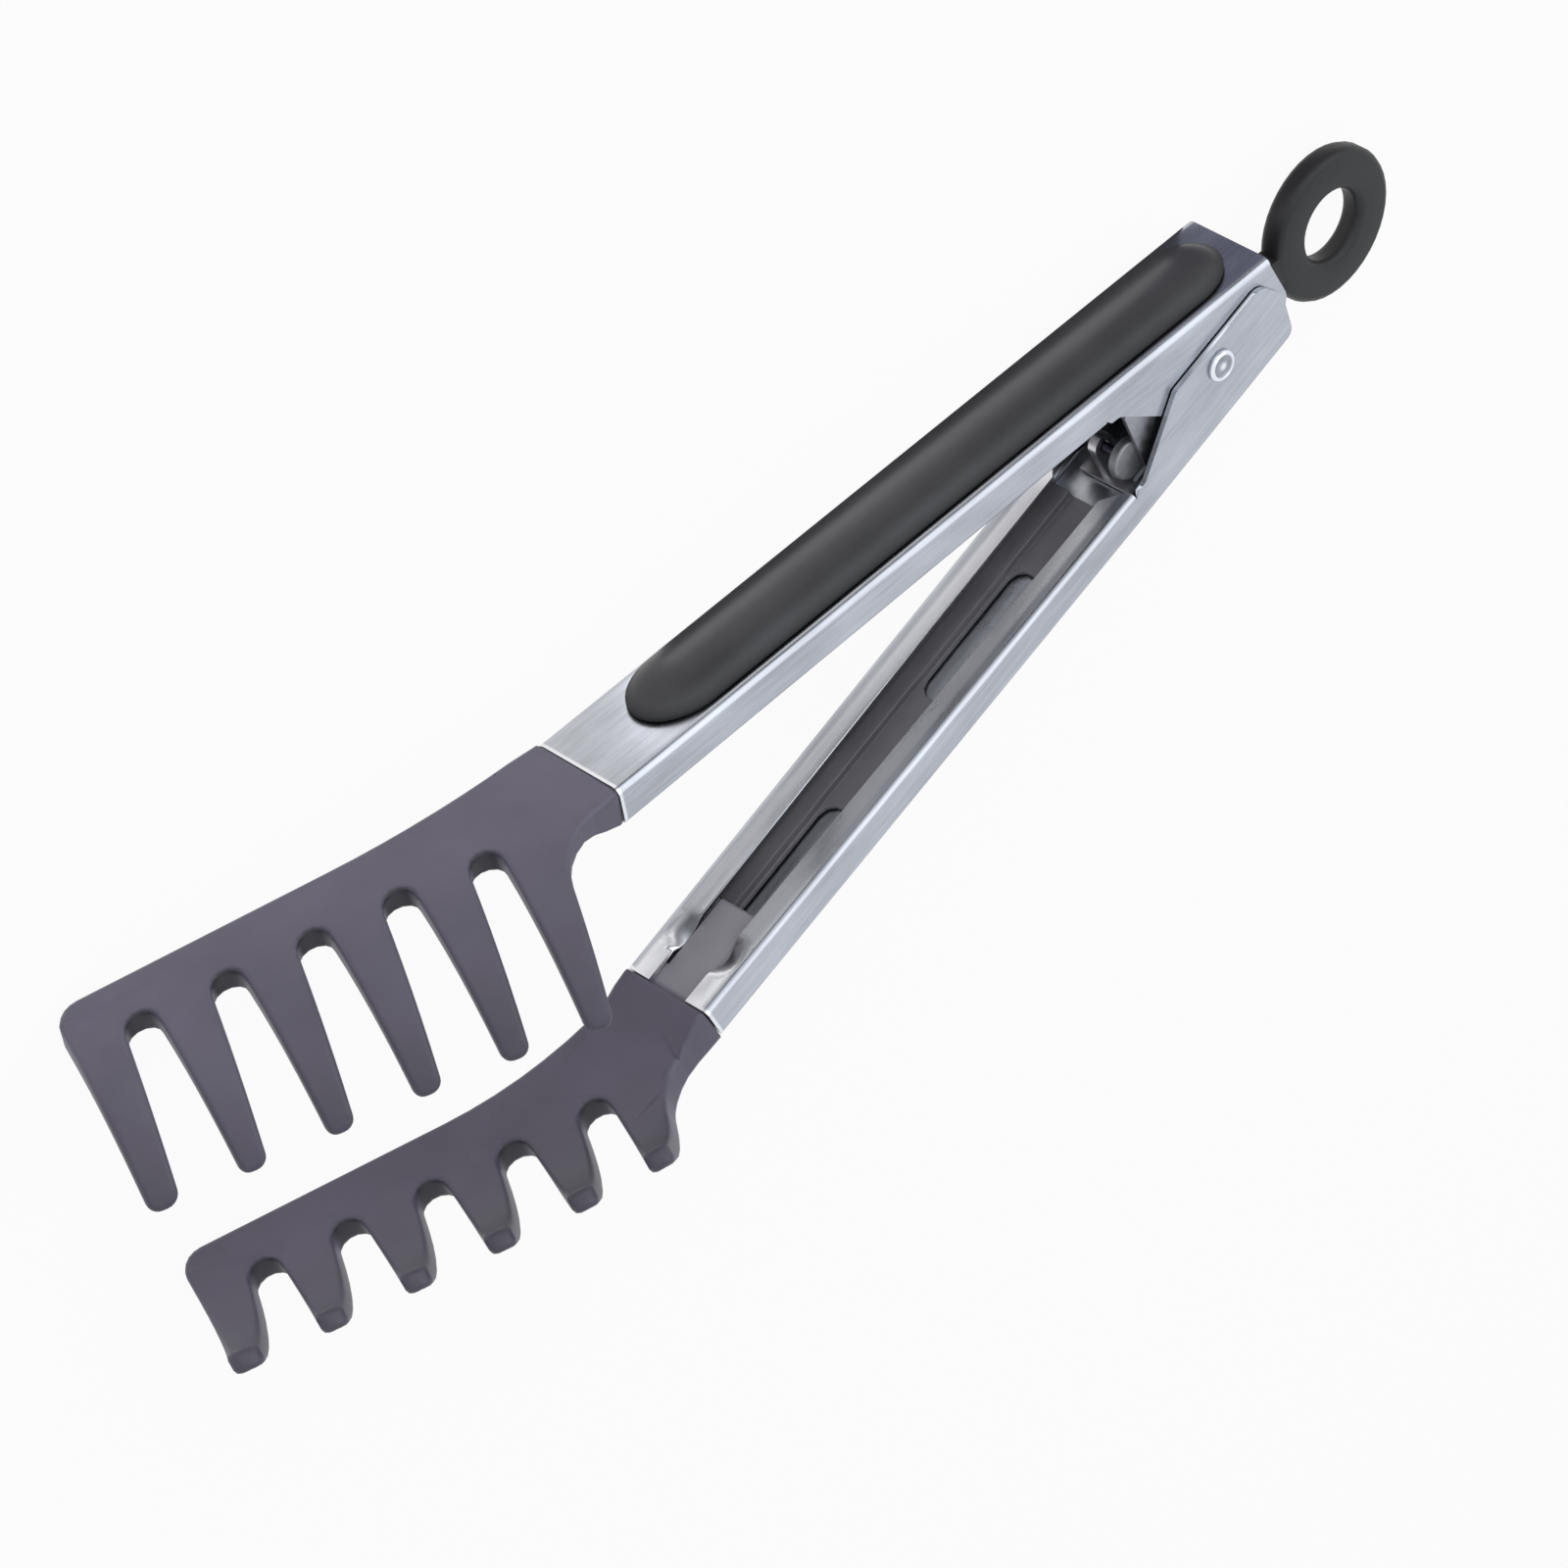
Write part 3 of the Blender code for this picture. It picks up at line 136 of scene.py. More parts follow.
# Painted shade down a comb's teeth and in its slot ends, and a painted sheen on its tang: distance from the spine
# as z + slope * x, and the way that slot ends face
SPINE_SLOPE = 0.43
TEETH_SPAN = (0.062, 0.088)
TEETH_SHADE = 0.45
SLOT_END_WAY = (0.395, 0.0, 0.919)
SLOT_END_FACING = (0.30, 0.75)
SLOT_END_SPAN = (0.064, 0.071)
SLOT_END_SHADE = 0.75
NECK_END = (0.141, 0.144)
TANG_SHEEN_SPAN = (0.1252, 0.1244)

# Plated and bright metal: wear per metre, and the rivet's rings as radii, with a painted highlight on its rim and
# middle and painted shade on the ring in its dish
PLATING_WEAR = 700.0
WORN_SHARE = 0.82
WORN_ROUGHNESS = (-0.05, 0.06)
RIVET_WEAR = 900.0
RIVET_SHADE_SHARE = (0.75, 1.0)
RIVET_DISH = (0.0018, 0.0020)
RIVET_MIDDLE = (0.0003, 0.0009)
RIVET_ROUGHNESS = (0.16, 0.34)
METAL_RELIEF = 0.00003

# Meshes: sizes in metres, angles in degrees
MERGE_DISTANCE = 0.000002
CUT_DISTANCE = 0.0000001
FLAT_ANGLE = 0.5
EASED_ANGLE = 40
SHARP_ANGLE = 48
FOLD_ANGLE = 165
FACE_WEIGHT = 96
PAD_SHARP_ANGLE = 50
PAD_EDGE = 0.0006
PAD_END_LENGTH = 0.0095
PAD_END_STEPS = 20
PAD_RINGS = 14
PAD_RING_EASE = 1.4
BACK_RADIUS = 0.0035
BACK_START = -0.0105
BACK_TOP = 0.0068
BACK_MARGIN = 0.0001
BACK_CUTS = ((0, -0.0115), (0, -0.0124), (0, -0.0132), (1, 0.0068), (1, 0.0078))
BORE_SHARE = 0.8

# Studio: directions in the hinge's frame, lobes as direction, outer and inner angle
SKY_LIGHT = (0.93, 0.95, 1.0)
SKY_LIGHT_STRENGTH = 0.42
SKY_REFLECTED = (0.93, 0.96, 1.0)
SKY_REFLECTED_STRENGTH = 0.96
OVERHEAD_PATCH = ((-0.38, -0.36, 0.80), 44.0, 20.0)
OVERHEAD_LIFT = 0.86
FRONT_FLAG = ((-0.578, -0.817, -0.004), 32.0, 14.0)
FLAG_DROP = 0.88
FLOOR = (0.70, 0.70, 0.70)
FLOOR_WHITE = 0.94
FLOOR_HALF_SIZE = 6.0
FLOOR_HEIGHT = -0.0002
LOW_CARD_HEIGHT = -0.0001
TOP_CARD_HEIGHT = -0.00005
HINGE_CARD = ((-0.20, -0.16), (-0.04, -0.16), (-0.04, -0.010), (-0.20, -0.010))
HINGE_CARD_TONE = (0.20, 0.20, 0.26)
HINGE_CARD_FADE = (-0.085, -0.095)
GAP_CARD = ((-0.055, -0.006), (0.050, -0.019), (0.050, -0.003), (-0.055, -0.001))
GAP_CARD_TONE = (0.46, 0.46, 0.49)
UNDER_CARD = ((-0.095, -0.0028), (0.012, -0.0147), (0.012, -0.0340), (-0.095, -0.0177))
UNDER_CARD_TONE = (0.07, 0.07, 0.08)
REFLECTOR = ((-0.095, -0.0187), (0.012, -0.0350), (0.012, -0.0540), (-0.095, -0.0377))
REFLECTOR_TONE = (2.2, 2.2, 2.3)


def joint_named(name):
    return next(joint for joint in frame["joints"] if joint["name"] == name)


def hinge_frame():
    """World matrix with the rivet's axis as +Z and the line midway between the arms as +X."""
    hinge = joint_named("arm_hinge")
    up = Vector(hinge["axis"]).normalized()
    along = Vector((up.z, 0.0, -up.x)).normalized()
    across = up.cross(along)
    turn = Matrix((along, across, up)).transposed()
    return Matrix.Translation(Vector(hinge["pos_m"])) @ turn.to_4x4()


def arm_frame(side):
    """World matrix of one arm: +X toward its comb, +Z along the rivet."""
    hinge = hinge_frame()
    slide = Vector(joint_named("lock_slide")["axis"]).normalized()
    along = hinge.to_3x3().inverted() @ -slide
    half_open = math.atan2(-along.y, along.x)
    return hinge @ Matrix.Rotation(side * half_open, 4, "Z")


HINGE = hinge_frame()
INTO_HINGE = HINGE.inverted()
INNER = arm_frame(-1)
OUTER = arm_frame(1)
BODIES = frame["record"]["behaviour"]["bodies"]
BODY_OF = {node: body for body, nodes in BODIES.items() for node in nodes}


def add_node(tree, kind, **settings):
    node = tree.nodes.new(kind)
    for key, value in settings.items():
        setattr(node, key, value)
    return node


def feed(tree, value, socket):
    """Links an output to the socket, or sets the socket where the value is plain."""
    if isinstance(value, bpy.types.NodeSocket):
        tree.links.new(value, socket)
    else:
        socket.default_value = value


def math_node(tree, operation, first, second=None):
    node = add_node(tree, "ShaderNodeMath", operation=operation)
    feed(tree, first, node.inputs[0])
    if second is not None:
        feed(tree, second, node.inputs[1])
    return node.outputs[0]


def product(tree, first, *others):
    for other in others:
        first = math_node(tree, "MULTIPLY", first, other)
    return first


def weighted_sum(tree, first, first_share, second, second_share):
    return math_node(
        tree, "ADD", product(tree, first, first_share), product(tree, second, second_share)
    )


def map_range(tree, value, span, low=0.0, high=1.0):
    """Turns the span's two ends into low and high, and stays there beyond them."""
    node = add_node(tree, "ShaderNodeMapRange")
    feed(tree, value, node.inputs["Value"])
    for name, number in (
        ("From Min", span[0]),
        ("From Max", span[1]),
        ("To Min", low),
        ("To Max", high),
    ):
        node.inputs[name].default_value = number
    return node.outputs["Result"]


def dot_product(tree, first, second):
    node = add_node(tree, "ShaderNodeVectorMath", operation="DOT_PRODUCT")
    feed(tree, first, node.inputs[0])
    feed(tree, second, node.inputs[1])
    return node.outputs["Value"]


def split_vector(tree, vector):
    node = add_node(tree, "ShaderNodeSeparateXYZ")
    feed(tree, vector, node.inputs[0])
    return node.outputs["X"], node.outputs["Y"], node.outputs["Z"]


def stretch(tree, vector, scale):
    node = add_node(tree, "ShaderNodeMapping")
    node.inputs["Scale"].default_value = scale
    feed(tree, vector, node.inputs["Vector"])
    return node.outputs["Vector"]


def noise_node(tree, vector, scale, detail, roughness):
    node = add_node(tree, "ShaderNodeTexNoise")
    node.inputs["Detail"].default_value = detail
    node.inputs["Roughness"].default_value = roughness
    feed(tree, scale, node.inputs["Scale"])
    feed(tree, vector, node.inputs["Vector"])
    return node.outputs["Fac"]


def mix_colour(tree, share, first, second):
    node = add_node(tree, "ShaderNodeMix", data_type="RGBA")
    feed(tree, share, node.inputs["Factor"])
    for value, name in ((first, "A"), (second, "B")):
        socket = next(item for item in node.inputs if item.name == name and item.type == "RGBA")
        feed(tree, (*value, 1.0) if isinstance(value, tuple) else value, socket)
    return next(item for item in node.outputs if item.type == "RGBA")


def mix_shader(tree, share, first, second):
    node = add_node(tree, "ShaderNodeMixShader")
    for index, value in enumerate((share, first, second)):
        feed(tree, value, node.inputs[index])
    return node.outputs[0]


def add_group(name, inputs, outputs):
    """Starts a shader group with named inputs, and outputs that are masks or heights."""
    group = bpy.data.node_groups.new(name, "ShaderNodeTree")
    for socket_name, kind in inputs.items():
        group.interface.new_socket(name=socket_name, in_out="INPUT", socket_type=kind)
    for socket_name in outputs:
        group.interface.new_socket(
            name=socket_name, in_out="OUTPUT", socket_type="NodeSocketFloat"
        )
    start = group.nodes.new("NodeGroupInput")
    end = group.nodes.new("NodeGroupOutput")
    return group, start.outputs, end.inputs


def brushing_group():
    """Hairlines along X: fine and coarse streaks, with slow patches between them."""
    group, given, result = add_group(
        "hairline_brushing", {"Vector": "NodeSocketVector"}, ("Streaks", "Patches")
    )
    fine_vector = stretch(group, given["Vector"], FINE_HAIRLINES)
    coarse_vector = stretch(group, given["Vector"], COARSE_HAIRLINES)
    patch_vector = stretch(group, given["Vector"], STEEL_PATCHES)
    fine = noise_node(group, fine_vector, 1.0, detail=3.0, roughness=0.65)
    coarse = noise_node(group, coarse_vector, 1.0, detail=2.0, roughness=0.5)
    patches = noise_node(group, patch_vector, 1.0, detail=3.0, roughness=0.55)
    streaks = weighted_sum(group, fine, FINE_SHARE, coarse, 1 - FINE_SHARE)
    feed(group, streaks, result["Streaks"])
    feed(group, patches, result["Patches"])
    return group


def crimp_group():
    """Masks of the crimps' dents and the near lip, where shade is painted, and of the lips and cut end, where
    highlights are painted, in the arm's own frame.
    """
    group, given, result = add_group(
        "crimps_and_lips", {"Vector": "NodeSocketVector"}, ("Dent", "Shaded Lip", "Lip Highlight")
    )
    along, across, up = split_vector(group, given["Vector"])
    deep = math_node(group, "ABSOLUTE", across)
    wide = math_node(group, "ABSOLUTE", up)
    # Painted shade in the crimps' dents, which are also rougher
    dent = product(
        group,
        map_range(group, along, DENT_START),
        map_range(group, along, DENT_END, 1.0, 0.0),
        map_range(group, wide, DENT_HALF_WIDTH, 1.0, 0.0),
        map_range(group, deep, DENT_DEPTH, DENT_STRENGTH, 0.0),
    )
    on_lip = map_range(group, deep, LIP_FACE, 1.0, 0.0)
    within = map_range(group, wide, LIP_HALF_WIDTH, 1.0, 0.0)
    # Painted shade on the near lip
    dull = product(
        group,
        map_range(group, along, NEAR_LIP_START, 0.0, NEAR_LIP_SHADE),
        map_range(group, along, LIP_END, 1.0, 0.0),
        on_lip,
        map_range(group, up, NEAR_LIP_SIDE),
        within,
    )
    # Painted highlights along the lips, strongest toward the hinge and at the comb end, and on the cut end
    bright = math_node(
        group,
        "MAXIMUM",
        map_range(group, along, LIP_END, 0.0, LIP_END_HIGHLIGHT),
        map_range(group, along, LIP_HIGHLIGHT_FADE, *LIP_HIGHLIGHT),
    )
    bright = math_node(
        group,
        "MAXIMUM",
        product(group, bright, on_lip, within),
        map_range(group, along, CUT_END, 0.0, CUT_END_HIGHLIGHT),
    )
    feed(group, dent, result["Dent"])
    feed(group, dull, result["Shaded Lip"])
    feed(group, bright, result["Lip Highlight"])
    return group


def moulded_group():
    """Skin of a moulded plastic: slow clouding, and a height of fine grain and a few pits."""
    group, given, result = add_group(
        "moulded_skin",
        {"Vector": "NodeSocketVector", "Grain": "NodeSocketFloat"},
        ("Clouding", "Height"),
    )
    clouding = noise_node(group, given["Vector"], CLOUDS, detail=3.0, roughness=0.55)
    grain = noise_node(group, given["Vector"], given["Grain"], detail=2.0, roughness=0.5)
    specks = add_node(group, "ShaderNodeTexVoronoi")
    specks.inputs["Scale"].default_value = PITS
    feed(group, given["Vector"], specks.inputs["Vector"])
    pits = map_range(group, specks.outputs["Distance"], PIT_RIM, 1.0, 0.0)
    height = math_node(group, "SUBTRACT", grain, product(group, pits, PIT_DEPTH))
    feed(group, clouding, result["Clouding"])
    feed(group, height, result["Height"])
    return group


def pad_foot_group():
    """Foot of a grip's pad, where it meets the steel and shade is painted, in the arm's own frame."""
    group, given, result = add_group("pad_foot", {"Vector": "NodeSocketVector"}, ("Foot",))
    across = split_vector(group, given["Vector"])[1]
    height = math_node(group, "ABSOLUTE", across)
    feed(group, map_range(group, height, PAD_FOOT_SPAN, 1.0, 0.0), result["Foot"])
    return group


def comb_group():
    """Painted shade down a comb's teeth and in its slot ends, and a painted sheen on its tang, in the arm's own
    frame.
    """
    group, given, result = add_group(
        "comb_painted_light",
        {"Vector": "NodeSocketVector", "Toward": "NodeSocketVector"},
        ("Teeth", "Slot Ends", "Tang"),
    )
    split = split_vector(group, given["Vector"])
    along, up = split[0], split[2]
    off_spine = math_node(group, "ADD", up, product(group, along, SPINE_SLOPE))
    normal = add_node(group, "ShaderNodeTexCoord").outputs["Normal"]
    slot_ends = product(
        group,
        map_range(group, dot_product(group, normal, given["Toward"]), SLOT_END_FACING),
        map_range(group, off_spine, SLOT_END_SPAN, SLOT_END_SHADE, 0.0),
        map_range(group, along, NECK_END),
    )
    feed(group, map_range(group, off_spine, TEETH_SPAN, 0.0, TEETH_SHADE), result["Teeth"])
    feed(group, slot_ends, result["Slot Ends"])
    feed(group, map_range(group, along, TANG_SHEEN_SPAN), result["Tang"])
    return group


def wear_group():
    """Wear of a plated or bright metal."""
    group, given, result = add_group(
        "metal_wear", {"Vector": "NodeSocketVector", "Scale": "NodeSocketFloat"}, ("Wear",)
    )
    wear = noise_node(group, given["Vector"], given["Scale"], detail=3.0, roughness=0.6)
    feed(group, wear, result["Wear"])
    return group


BRUSHING = brushing_group()
CRIMPS = crimp_group()
MOULDED = moulded_group()
PAD_FOOT = pad_foot_group()
COMB_PAINTED_LIGHT = comb_group()
METAL_WEAR = wear_group()


def add_group_node(tree, group, **inputs):
    node = add_node(tree, "ShaderNodeGroup", node_tree=group)
    for name, value in inputs.items():
        feed(tree, value, node.inputs[name])
    return node.outputs


def object_vector(tree, place=None):
    """Rest-place coordinates, turned into an arm's or the hinge's frame where one is given."""
    vector = add_node(tree, "ShaderNodeTexCoord").outputs["Object"]
    if place is None:
        return vector
    inverse = place.inverted()
    mapping = add_node(tree, "ShaderNodeMapping")
    mapping.inputs["Location"].default_value = inverse.translation
    mapping.inputs["Rotation"].default_value = inverse.to_euler("XYZ")
    feed(tree, vector, mapping.inputs["Vector"])
    return mapping.outputs["Vector"]


def new_material(name):
    material = bpy.data.materials.new(name)
    material.use_nodes = True
    return material, material.node_tree, material.node_tree.nodes["Principled BSDF"]


def add_bump(tree, shader, height, strength, distance):
    bump = add_node(tree, "ShaderNodeBump")
    bump.inputs["Strength"].default_value = strength
    bump.inputs["Distance"].default_value = distance
    feed(tree, height, bump.inputs["Height"])
    feed(tree, bump.outputs["Normal"], shader.inputs["Normal"])


def brushed_steel(name, place):
    """An arm's steel: hairlines along it, rougher crimps with painted shade in their dents, painted shade on the
    near lip, and painted highlights on the lips and cut end.
    """
    material, tree, shader = new_material(name)
    vector = object_vector(tree, place)
    brushing = add_group_node(tree, BRUSHING, Vector=vector)
    marks = add_group_node(tree, CRIMPS, Vector=vector)
    tone = weighted_sum(
        tree, brushing["Streaks"], STREAK_SHARE, brushing["Patches"], 1 - STREAK_SHARE
    )
    face = mix_colour(tree, map_range(tree, tone, STEEL_TONE_SPAN), STEEL_DIM, STEEL)
    # Painted shade on the near lip, painted highlights on the lips and cut end, and painted shade in the crimps'
    # dents
    face = mix_colour(tree, marks["Shaded Lip"], face, SHADE_STEEL)
    face = mix_colour(tree, marks["Lip Highlight"], face, HIGHLIGHT_STEEL)
    face = mix_colour(tree, marks["Dent"], face, SHADE_STEEL)
    feed(tree, face, shader.inputs["Base Color"])
    rough = map_range(tree, brushing["Patches"], ROUGH_SPAN, *STEEL_ROUGHNESS)
    rough = math_node(tree, "ADD", rough, product(tree, marks["Dent"], DENT_ROUGHNESS))
    feed(tree, rough, shader.inputs["Roughness"])
    shader.inputs["Metallic"].default_value = 1.0
    add_bump(tree, shader, brushing["Streaks"], strength=0.25, distance=STEEL_RELIEF)
    return material


def moulded_skin(tree, shader, grain, dark, pale, bump, specular):
    """Grain, pits and gloss of a moulded plastic; returns its clouding and clouded colour."""
    skin = add_group_node(tree, MOULDED, Vector=object_vector(tree), Grain=grain)
    shader.inputs["Specular IOR Level"].default_value = specular
    add_bump(tree, shader, skin["Height"], strength=bump, distance=SKIN_RELIEF)
    share = map_range(tree, skin["Clouding"], COLOUR_SPAN)
    return skin["Clouding"], mix_colour(tree, share, dark, pale)


def moulded_plastic(name, dark, pale, roughness, bump, specular):
    material, tree, shader = new_material(name)
    clouding, face = moulded_skin(tree, shader, PLASTIC_GRAIN, dark, pale, bump, specular)
    smoothest = roughness - PLASTIC_ROUGH_SPREAD
    roughest = roughness + PLASTIC_ROUGH_SPREAD
    rough = map_range(tree, clouding, ROUGH_SPAN, smoothest, roughest)
    feed(tree, face, shader.inputs["Base Color"])
    feed(tree, rough, shader.inputs["Roughness"])
    return material


def soft_pad(name, place):
    """Soft-touch pad: fine grain, and a rougher foot with painted shade where it meets the steel."""
    material, tree, shader = new_material(name)
    face = moulded_skin(
        tree, shader, PAD_GRAIN, SOFT_BLACK, SOFT_BLACK_PALE, bump=0.12, specular=0.34
    )[1]
    foot = add_group_node(tree, PAD_FOOT, Vector=object_vector(tree, place))["Foot"]
    # Painted shade at the pad's foot
    feed(tree, mix_colour(tree, foot, face, PAD_FOOT_SHADE), shader.inputs["Base Color"])
    rough = map_range(tree, foot, (0.0, 1.0), *PAD_ROUGHNESS)
    feed(tree, rough, shader.inputs["Roughness"])
    return material


def comb_nylon(name, place):
    """Clouded and pitted nylon, with painted shade down the teeth and in the slot ends, and a painted sheen on the
    tang.
    """
    material, tree, shader = new_material(name)
    clouding, face = moulded_skin(
        tree, shader, NYLON_GRAIN, NYLON_DARK, NYLON, bump=0.25, specular=0.45
    )
    shading = add_group_node(
        tree,
        COMB_PAINTED_LIGHT,
        Vector=object_vector(tree, place),
        Toward=place.to_3x3() @ Vector(SLOT_END_WAY),
    )
    # Painted shade down the teeth and in the slot ends, and a painted sheen on the tang
    face = mix_colour(tree, shading["Teeth"], face, BLACK)
    face = mix_colour(tree, shading["Slot Ends"], face, BLACK)
    face = mix_colour(tree, shading["Tang"], face, PAINTED_TANG_SHEEN)
    feed(tree, face, shader.inputs["Base Color"])
    rough = map_range(tree, clouding, ROUGH_SPAN, *NYLON_ROUGHNESS)
    feed(tree, rough, shader.inputs["Roughness"])
    return material


def rivet_metal(name):
    """Rivet: a polished rim and middle with painted highlights, and a rougher ring in the dish with painted shade,
    broken by wear noise.
    """
    material, tree, shader = new_material(name)
    flat = add_node(tree, "ShaderNodeVectorMath", operation="MULTIPLY")
    feed(tree, object_vector(tree, HINGE), flat.inputs[0])
    flat.inputs[1].default_value = (1.0, 1.0, 0.0)
    length = add_node(tree, "ShaderNodeVectorMath", operation="LENGTH")
    feed(tree, flat.outputs[0], length.inputs[0])
    radius = length.outputs["Value"]
    dish = map_range(tree, radius, RIVET_DISH, 1.0, 0.0)
    middle = map_range(tree, radius, RIVET_MIDDLE, 1.0, 0.0)
    ring = product(tree, dish, math_node(tree, "SUBTRACT", 1.0, middle))
    wear = add_group_node(tree, METAL_WEAR, Vector=object_vector(tree), Scale=RIVET_WEAR)["Wear"]
    share = product(tree, ring, map_range(tree, wear, ROUGH_SPAN, *RIVET_SHADE_SHARE))
    # Painted shade on the dish ring, and a painted highlight on the rest of the rivet
    face = mix_colour(tree, share, RIVET_HIGHLIGHT, RIVET_DISH_SHADE)
    feed(tree, face, shader.inputs["Base Color"])
    rough = map_range(tree, ring, (0.0, 1.0), *RIVET_ROUGHNESS)
    feed(tree, rough, shader.inputs["Roughness"])
    shader.inputs["Metallic"].default_value = 1.0
    add_bump(tree, shader, wear, strength=0.08, distance=METAL_RELIEF)
    return material


def bright_metal(name, colour, roughness):
    material, tree, shader = new_material(name)
    wear = add_group_node(tree, METAL_WEAR, Vector=object_vector(tree), Scale=PLATING_WEAR)["Wear"]
    worn = tuple(channel * WORN_SHARE for channel in colour)
    face = mix_colour(tree, map_range(tree, wear, COLOUR_SPAN), worn, colour)
    feed(tree, face, shader.inputs["Base Color"])
    smoothest, roughest = (roughness + change for change in WORN_ROUGHNESS)
    rough = map_range(tree, wear, ROUGH_SPAN, smoothest, roughest)
    feed(tree, rough, shader.inputs["Roughness"])
    shader.inputs["Metallic"].default_value = 1.0
    add_bump(tree, shader, wear, strength=0.08, distance=METAL_RELIEF)
    return material


def add_piece(node, shape, material, sharp_angle):
    """Turns the finished shape into the piece that stands for a CAD node."""
    mesh = bpy.data.meshes.new(node + "_finished")
    shape.to_mesh(mesh)
    shape.free()
    mesh.materials.append(material)
    mesh.shade_smooth()
    mesh.set_sharp_from_angle(angle=math.radians(sharp_angle))
    piece = bpy.data.objects.new(node + "_finished", mesh)
    bpy.context.scene.collection.objects.link(piece)
    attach(piece, BODY_OF[node])
    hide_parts(node)
    return piece


def finish_piece(node, material, edge=0.0, reshape=None, flat=False):
    """A smooth-shaded twin of a CAD node, its edges eased and its flat faces merged if asked."""
    shape = bmesh.new()
    shape.from_mesh(frame["nodes"][node].data)
    bmesh.ops.remove_doubles(shape, verts=shape.verts, dist=MERGE_DISTANCE)
    if reshape:
        reshape(shape)
    if edge or flat:
        bmesh.ops.dissolve_limit(
            shape, angle_limit=math.radians(FLAT_ANGLE), verts=shape.verts, edges=shape.edges
        )
    piece = add_piece(node, shape, material, SHARP_ANGLE)
    if edge:
        easing = piece.modifiers.new("eased_edges", "BEVEL")
        easing.width = edge
        easing.segments = 2
        easing.limit_method = "ANGLE"
        easing.angle_limit = math.radians(EASED_ANGLE)
    shading = piece.modifiers.new("even_shading", "WEIGHTED_NORMAL")
    shading.mode = "FACE_AREA"
    shading.weight = FACE_WEIGHT
    shading.keep_sharp = True


def crowned_pad(node, material, place, side):
    """The grip's pad with a round crown, on the outline of its solid."""
    into_arm = place.inverted()
    points = [into_arm @ vert.co for vert in frame["nodes"][node].data.vertices]
    back = min(point.x for point in points)
    front = max(point.x for point in points)
    half_width = max(point.z for point in points)
    seat = min(abs(point.y) for point in points)
    rise = max(abs(point.y) for point in points) - seat
    radius = (half_width**2 + (rise - PAD_EDGE) ** 2) / (2 * (rise - PAD_EDGE))
    centres = (front - PAD_END_LENGTH, back + PAD_END_LENGTH)
    shape = bmesh.new()

    def add_point(x, height, z):
        return shape.verts.new(place @ Vector((x, side * (seat + height), z)))

    def add_ring(width_share, height):
        ring = []
        for centre, first in zip(centres, (-math.pi / 2, math.pi / 2)):
            for step in range(PAD_END_STEPS + 1):
                angle = first + math.pi * step / PAD_END_STEPS
                x = centre + PAD_END_LENGTH * width_share * math.cos(angle)
                ring.append(add_point(x, height, half_width * width_share * math.sin(angle)))
        return ring

    rings = [add_ring(1.0, 0.0), add_ring(1.0, PAD_EDGE)]
    for step in range(1, PAD_RINGS):
        width_share = 1 - (step / PAD_RINGS) ** PAD_RING_EASE
        drop = radius - math.sqrt(radius**2 - (half_width * width_share) ** 2)
        rings.append(add_ring(width_share, rise - drop))
    for low, high in zip(rings, rings[1:]):
        for index in range(len(low)):
            following = (index + 1) % len(low)
            shape.faces.new((low[index], low[following], high[following], high[index]))
    shape.faces.new(rings[0])
    ridge = [add_point(x, rise, 0.0) for x in centres]
    top = rings[-1]
    turn = PAD_END_STEPS + 1
    for number, start in enumerate((0, turn)):
        for index in range(start, start + PAD_END_STEPS):
            shape.faces.new((top[index], top[index + 1], ridge[number]))
    shape.faces.new((top[PAD_END_STEPS], top[turn], ridge[1], ridge[0]))
    shape.faces.new((top[-1], top[0], ridge[0], ridge[1]))
    bmesh.ops.recalc_face_normals(shape, faces=shape.faces)
    add_piece(node, shape, material, PAD_SHARP_ANGLE)


def unfold_skin(shape):
    """Clears slivers folded back on themselves where the comb's neck meets its plate."""
    limit = math.radians(FOLD_ANGLE)
    folds = [item for item in shape.edges if item.calc_face_angle(0.0) > limit]
    bmesh.ops.dissolve_edges(shape, edges=folds)


def cut_shape(shape, faces, axis, place):
    """Cuts the faces at a place along one axis of the outer arm's frame."""
    normal = Vector([1.0 if index == axis else 0.0 for index in range(3)])
    edges = {edge for item in faces for edge in item.edges}
    verts = {vert for item in faces for vert in item.verts}
    bmesh.ops.bisect_plane(
        shape,
        geom=list(verts) + list(edges) + faces,
        plane_co=OUTER @ (normal * place),
        plane_no=OUTER.to_3x3() @ normal,
        dist=CUT_DISTANCE,
    )


def round_back_corner(shape):
    """Rounds the outer arm's back corner in side view, where its blank is cut."""
    into_arm = OUTER.inverted()
    limit = BACK_START + BACK_MARGIN
    cut_shape(shape, shape.faces[:], 0, BACK_START)
    for axis, place in BACK_CUTS:
        behind = [
            item
            for item in shape.faces
            if all((into_arm @ vert.co).x < limit for vert in item.verts)
        ]
        cut_shape(shape, behind, axis, place)
    for vert in shape.verts:
        place = into_arm @ vert.co
        run = BACK_START - place.x
        rise = place.y - BACK_TOP
        reach = math.hypot(run, rise)
        if run > 0 and rise > 0 and reach > BACK_RADIUS:
            place.x = BACK_START - run * BACK_RADIUS / reach
            place.y = BACK_TOP + rise * BACK_RADIUS / reach
            vert.co = OUTER @ place


def roller_faces():
    """Places of the near roller's two faces along the rivet's axis."""
    verts = frame["nodes"]["near_roller"].data.vertices
    heights = [(INTO_HINGE @ vert.co).z for vert in verts]
    return min(heights), max(heights)


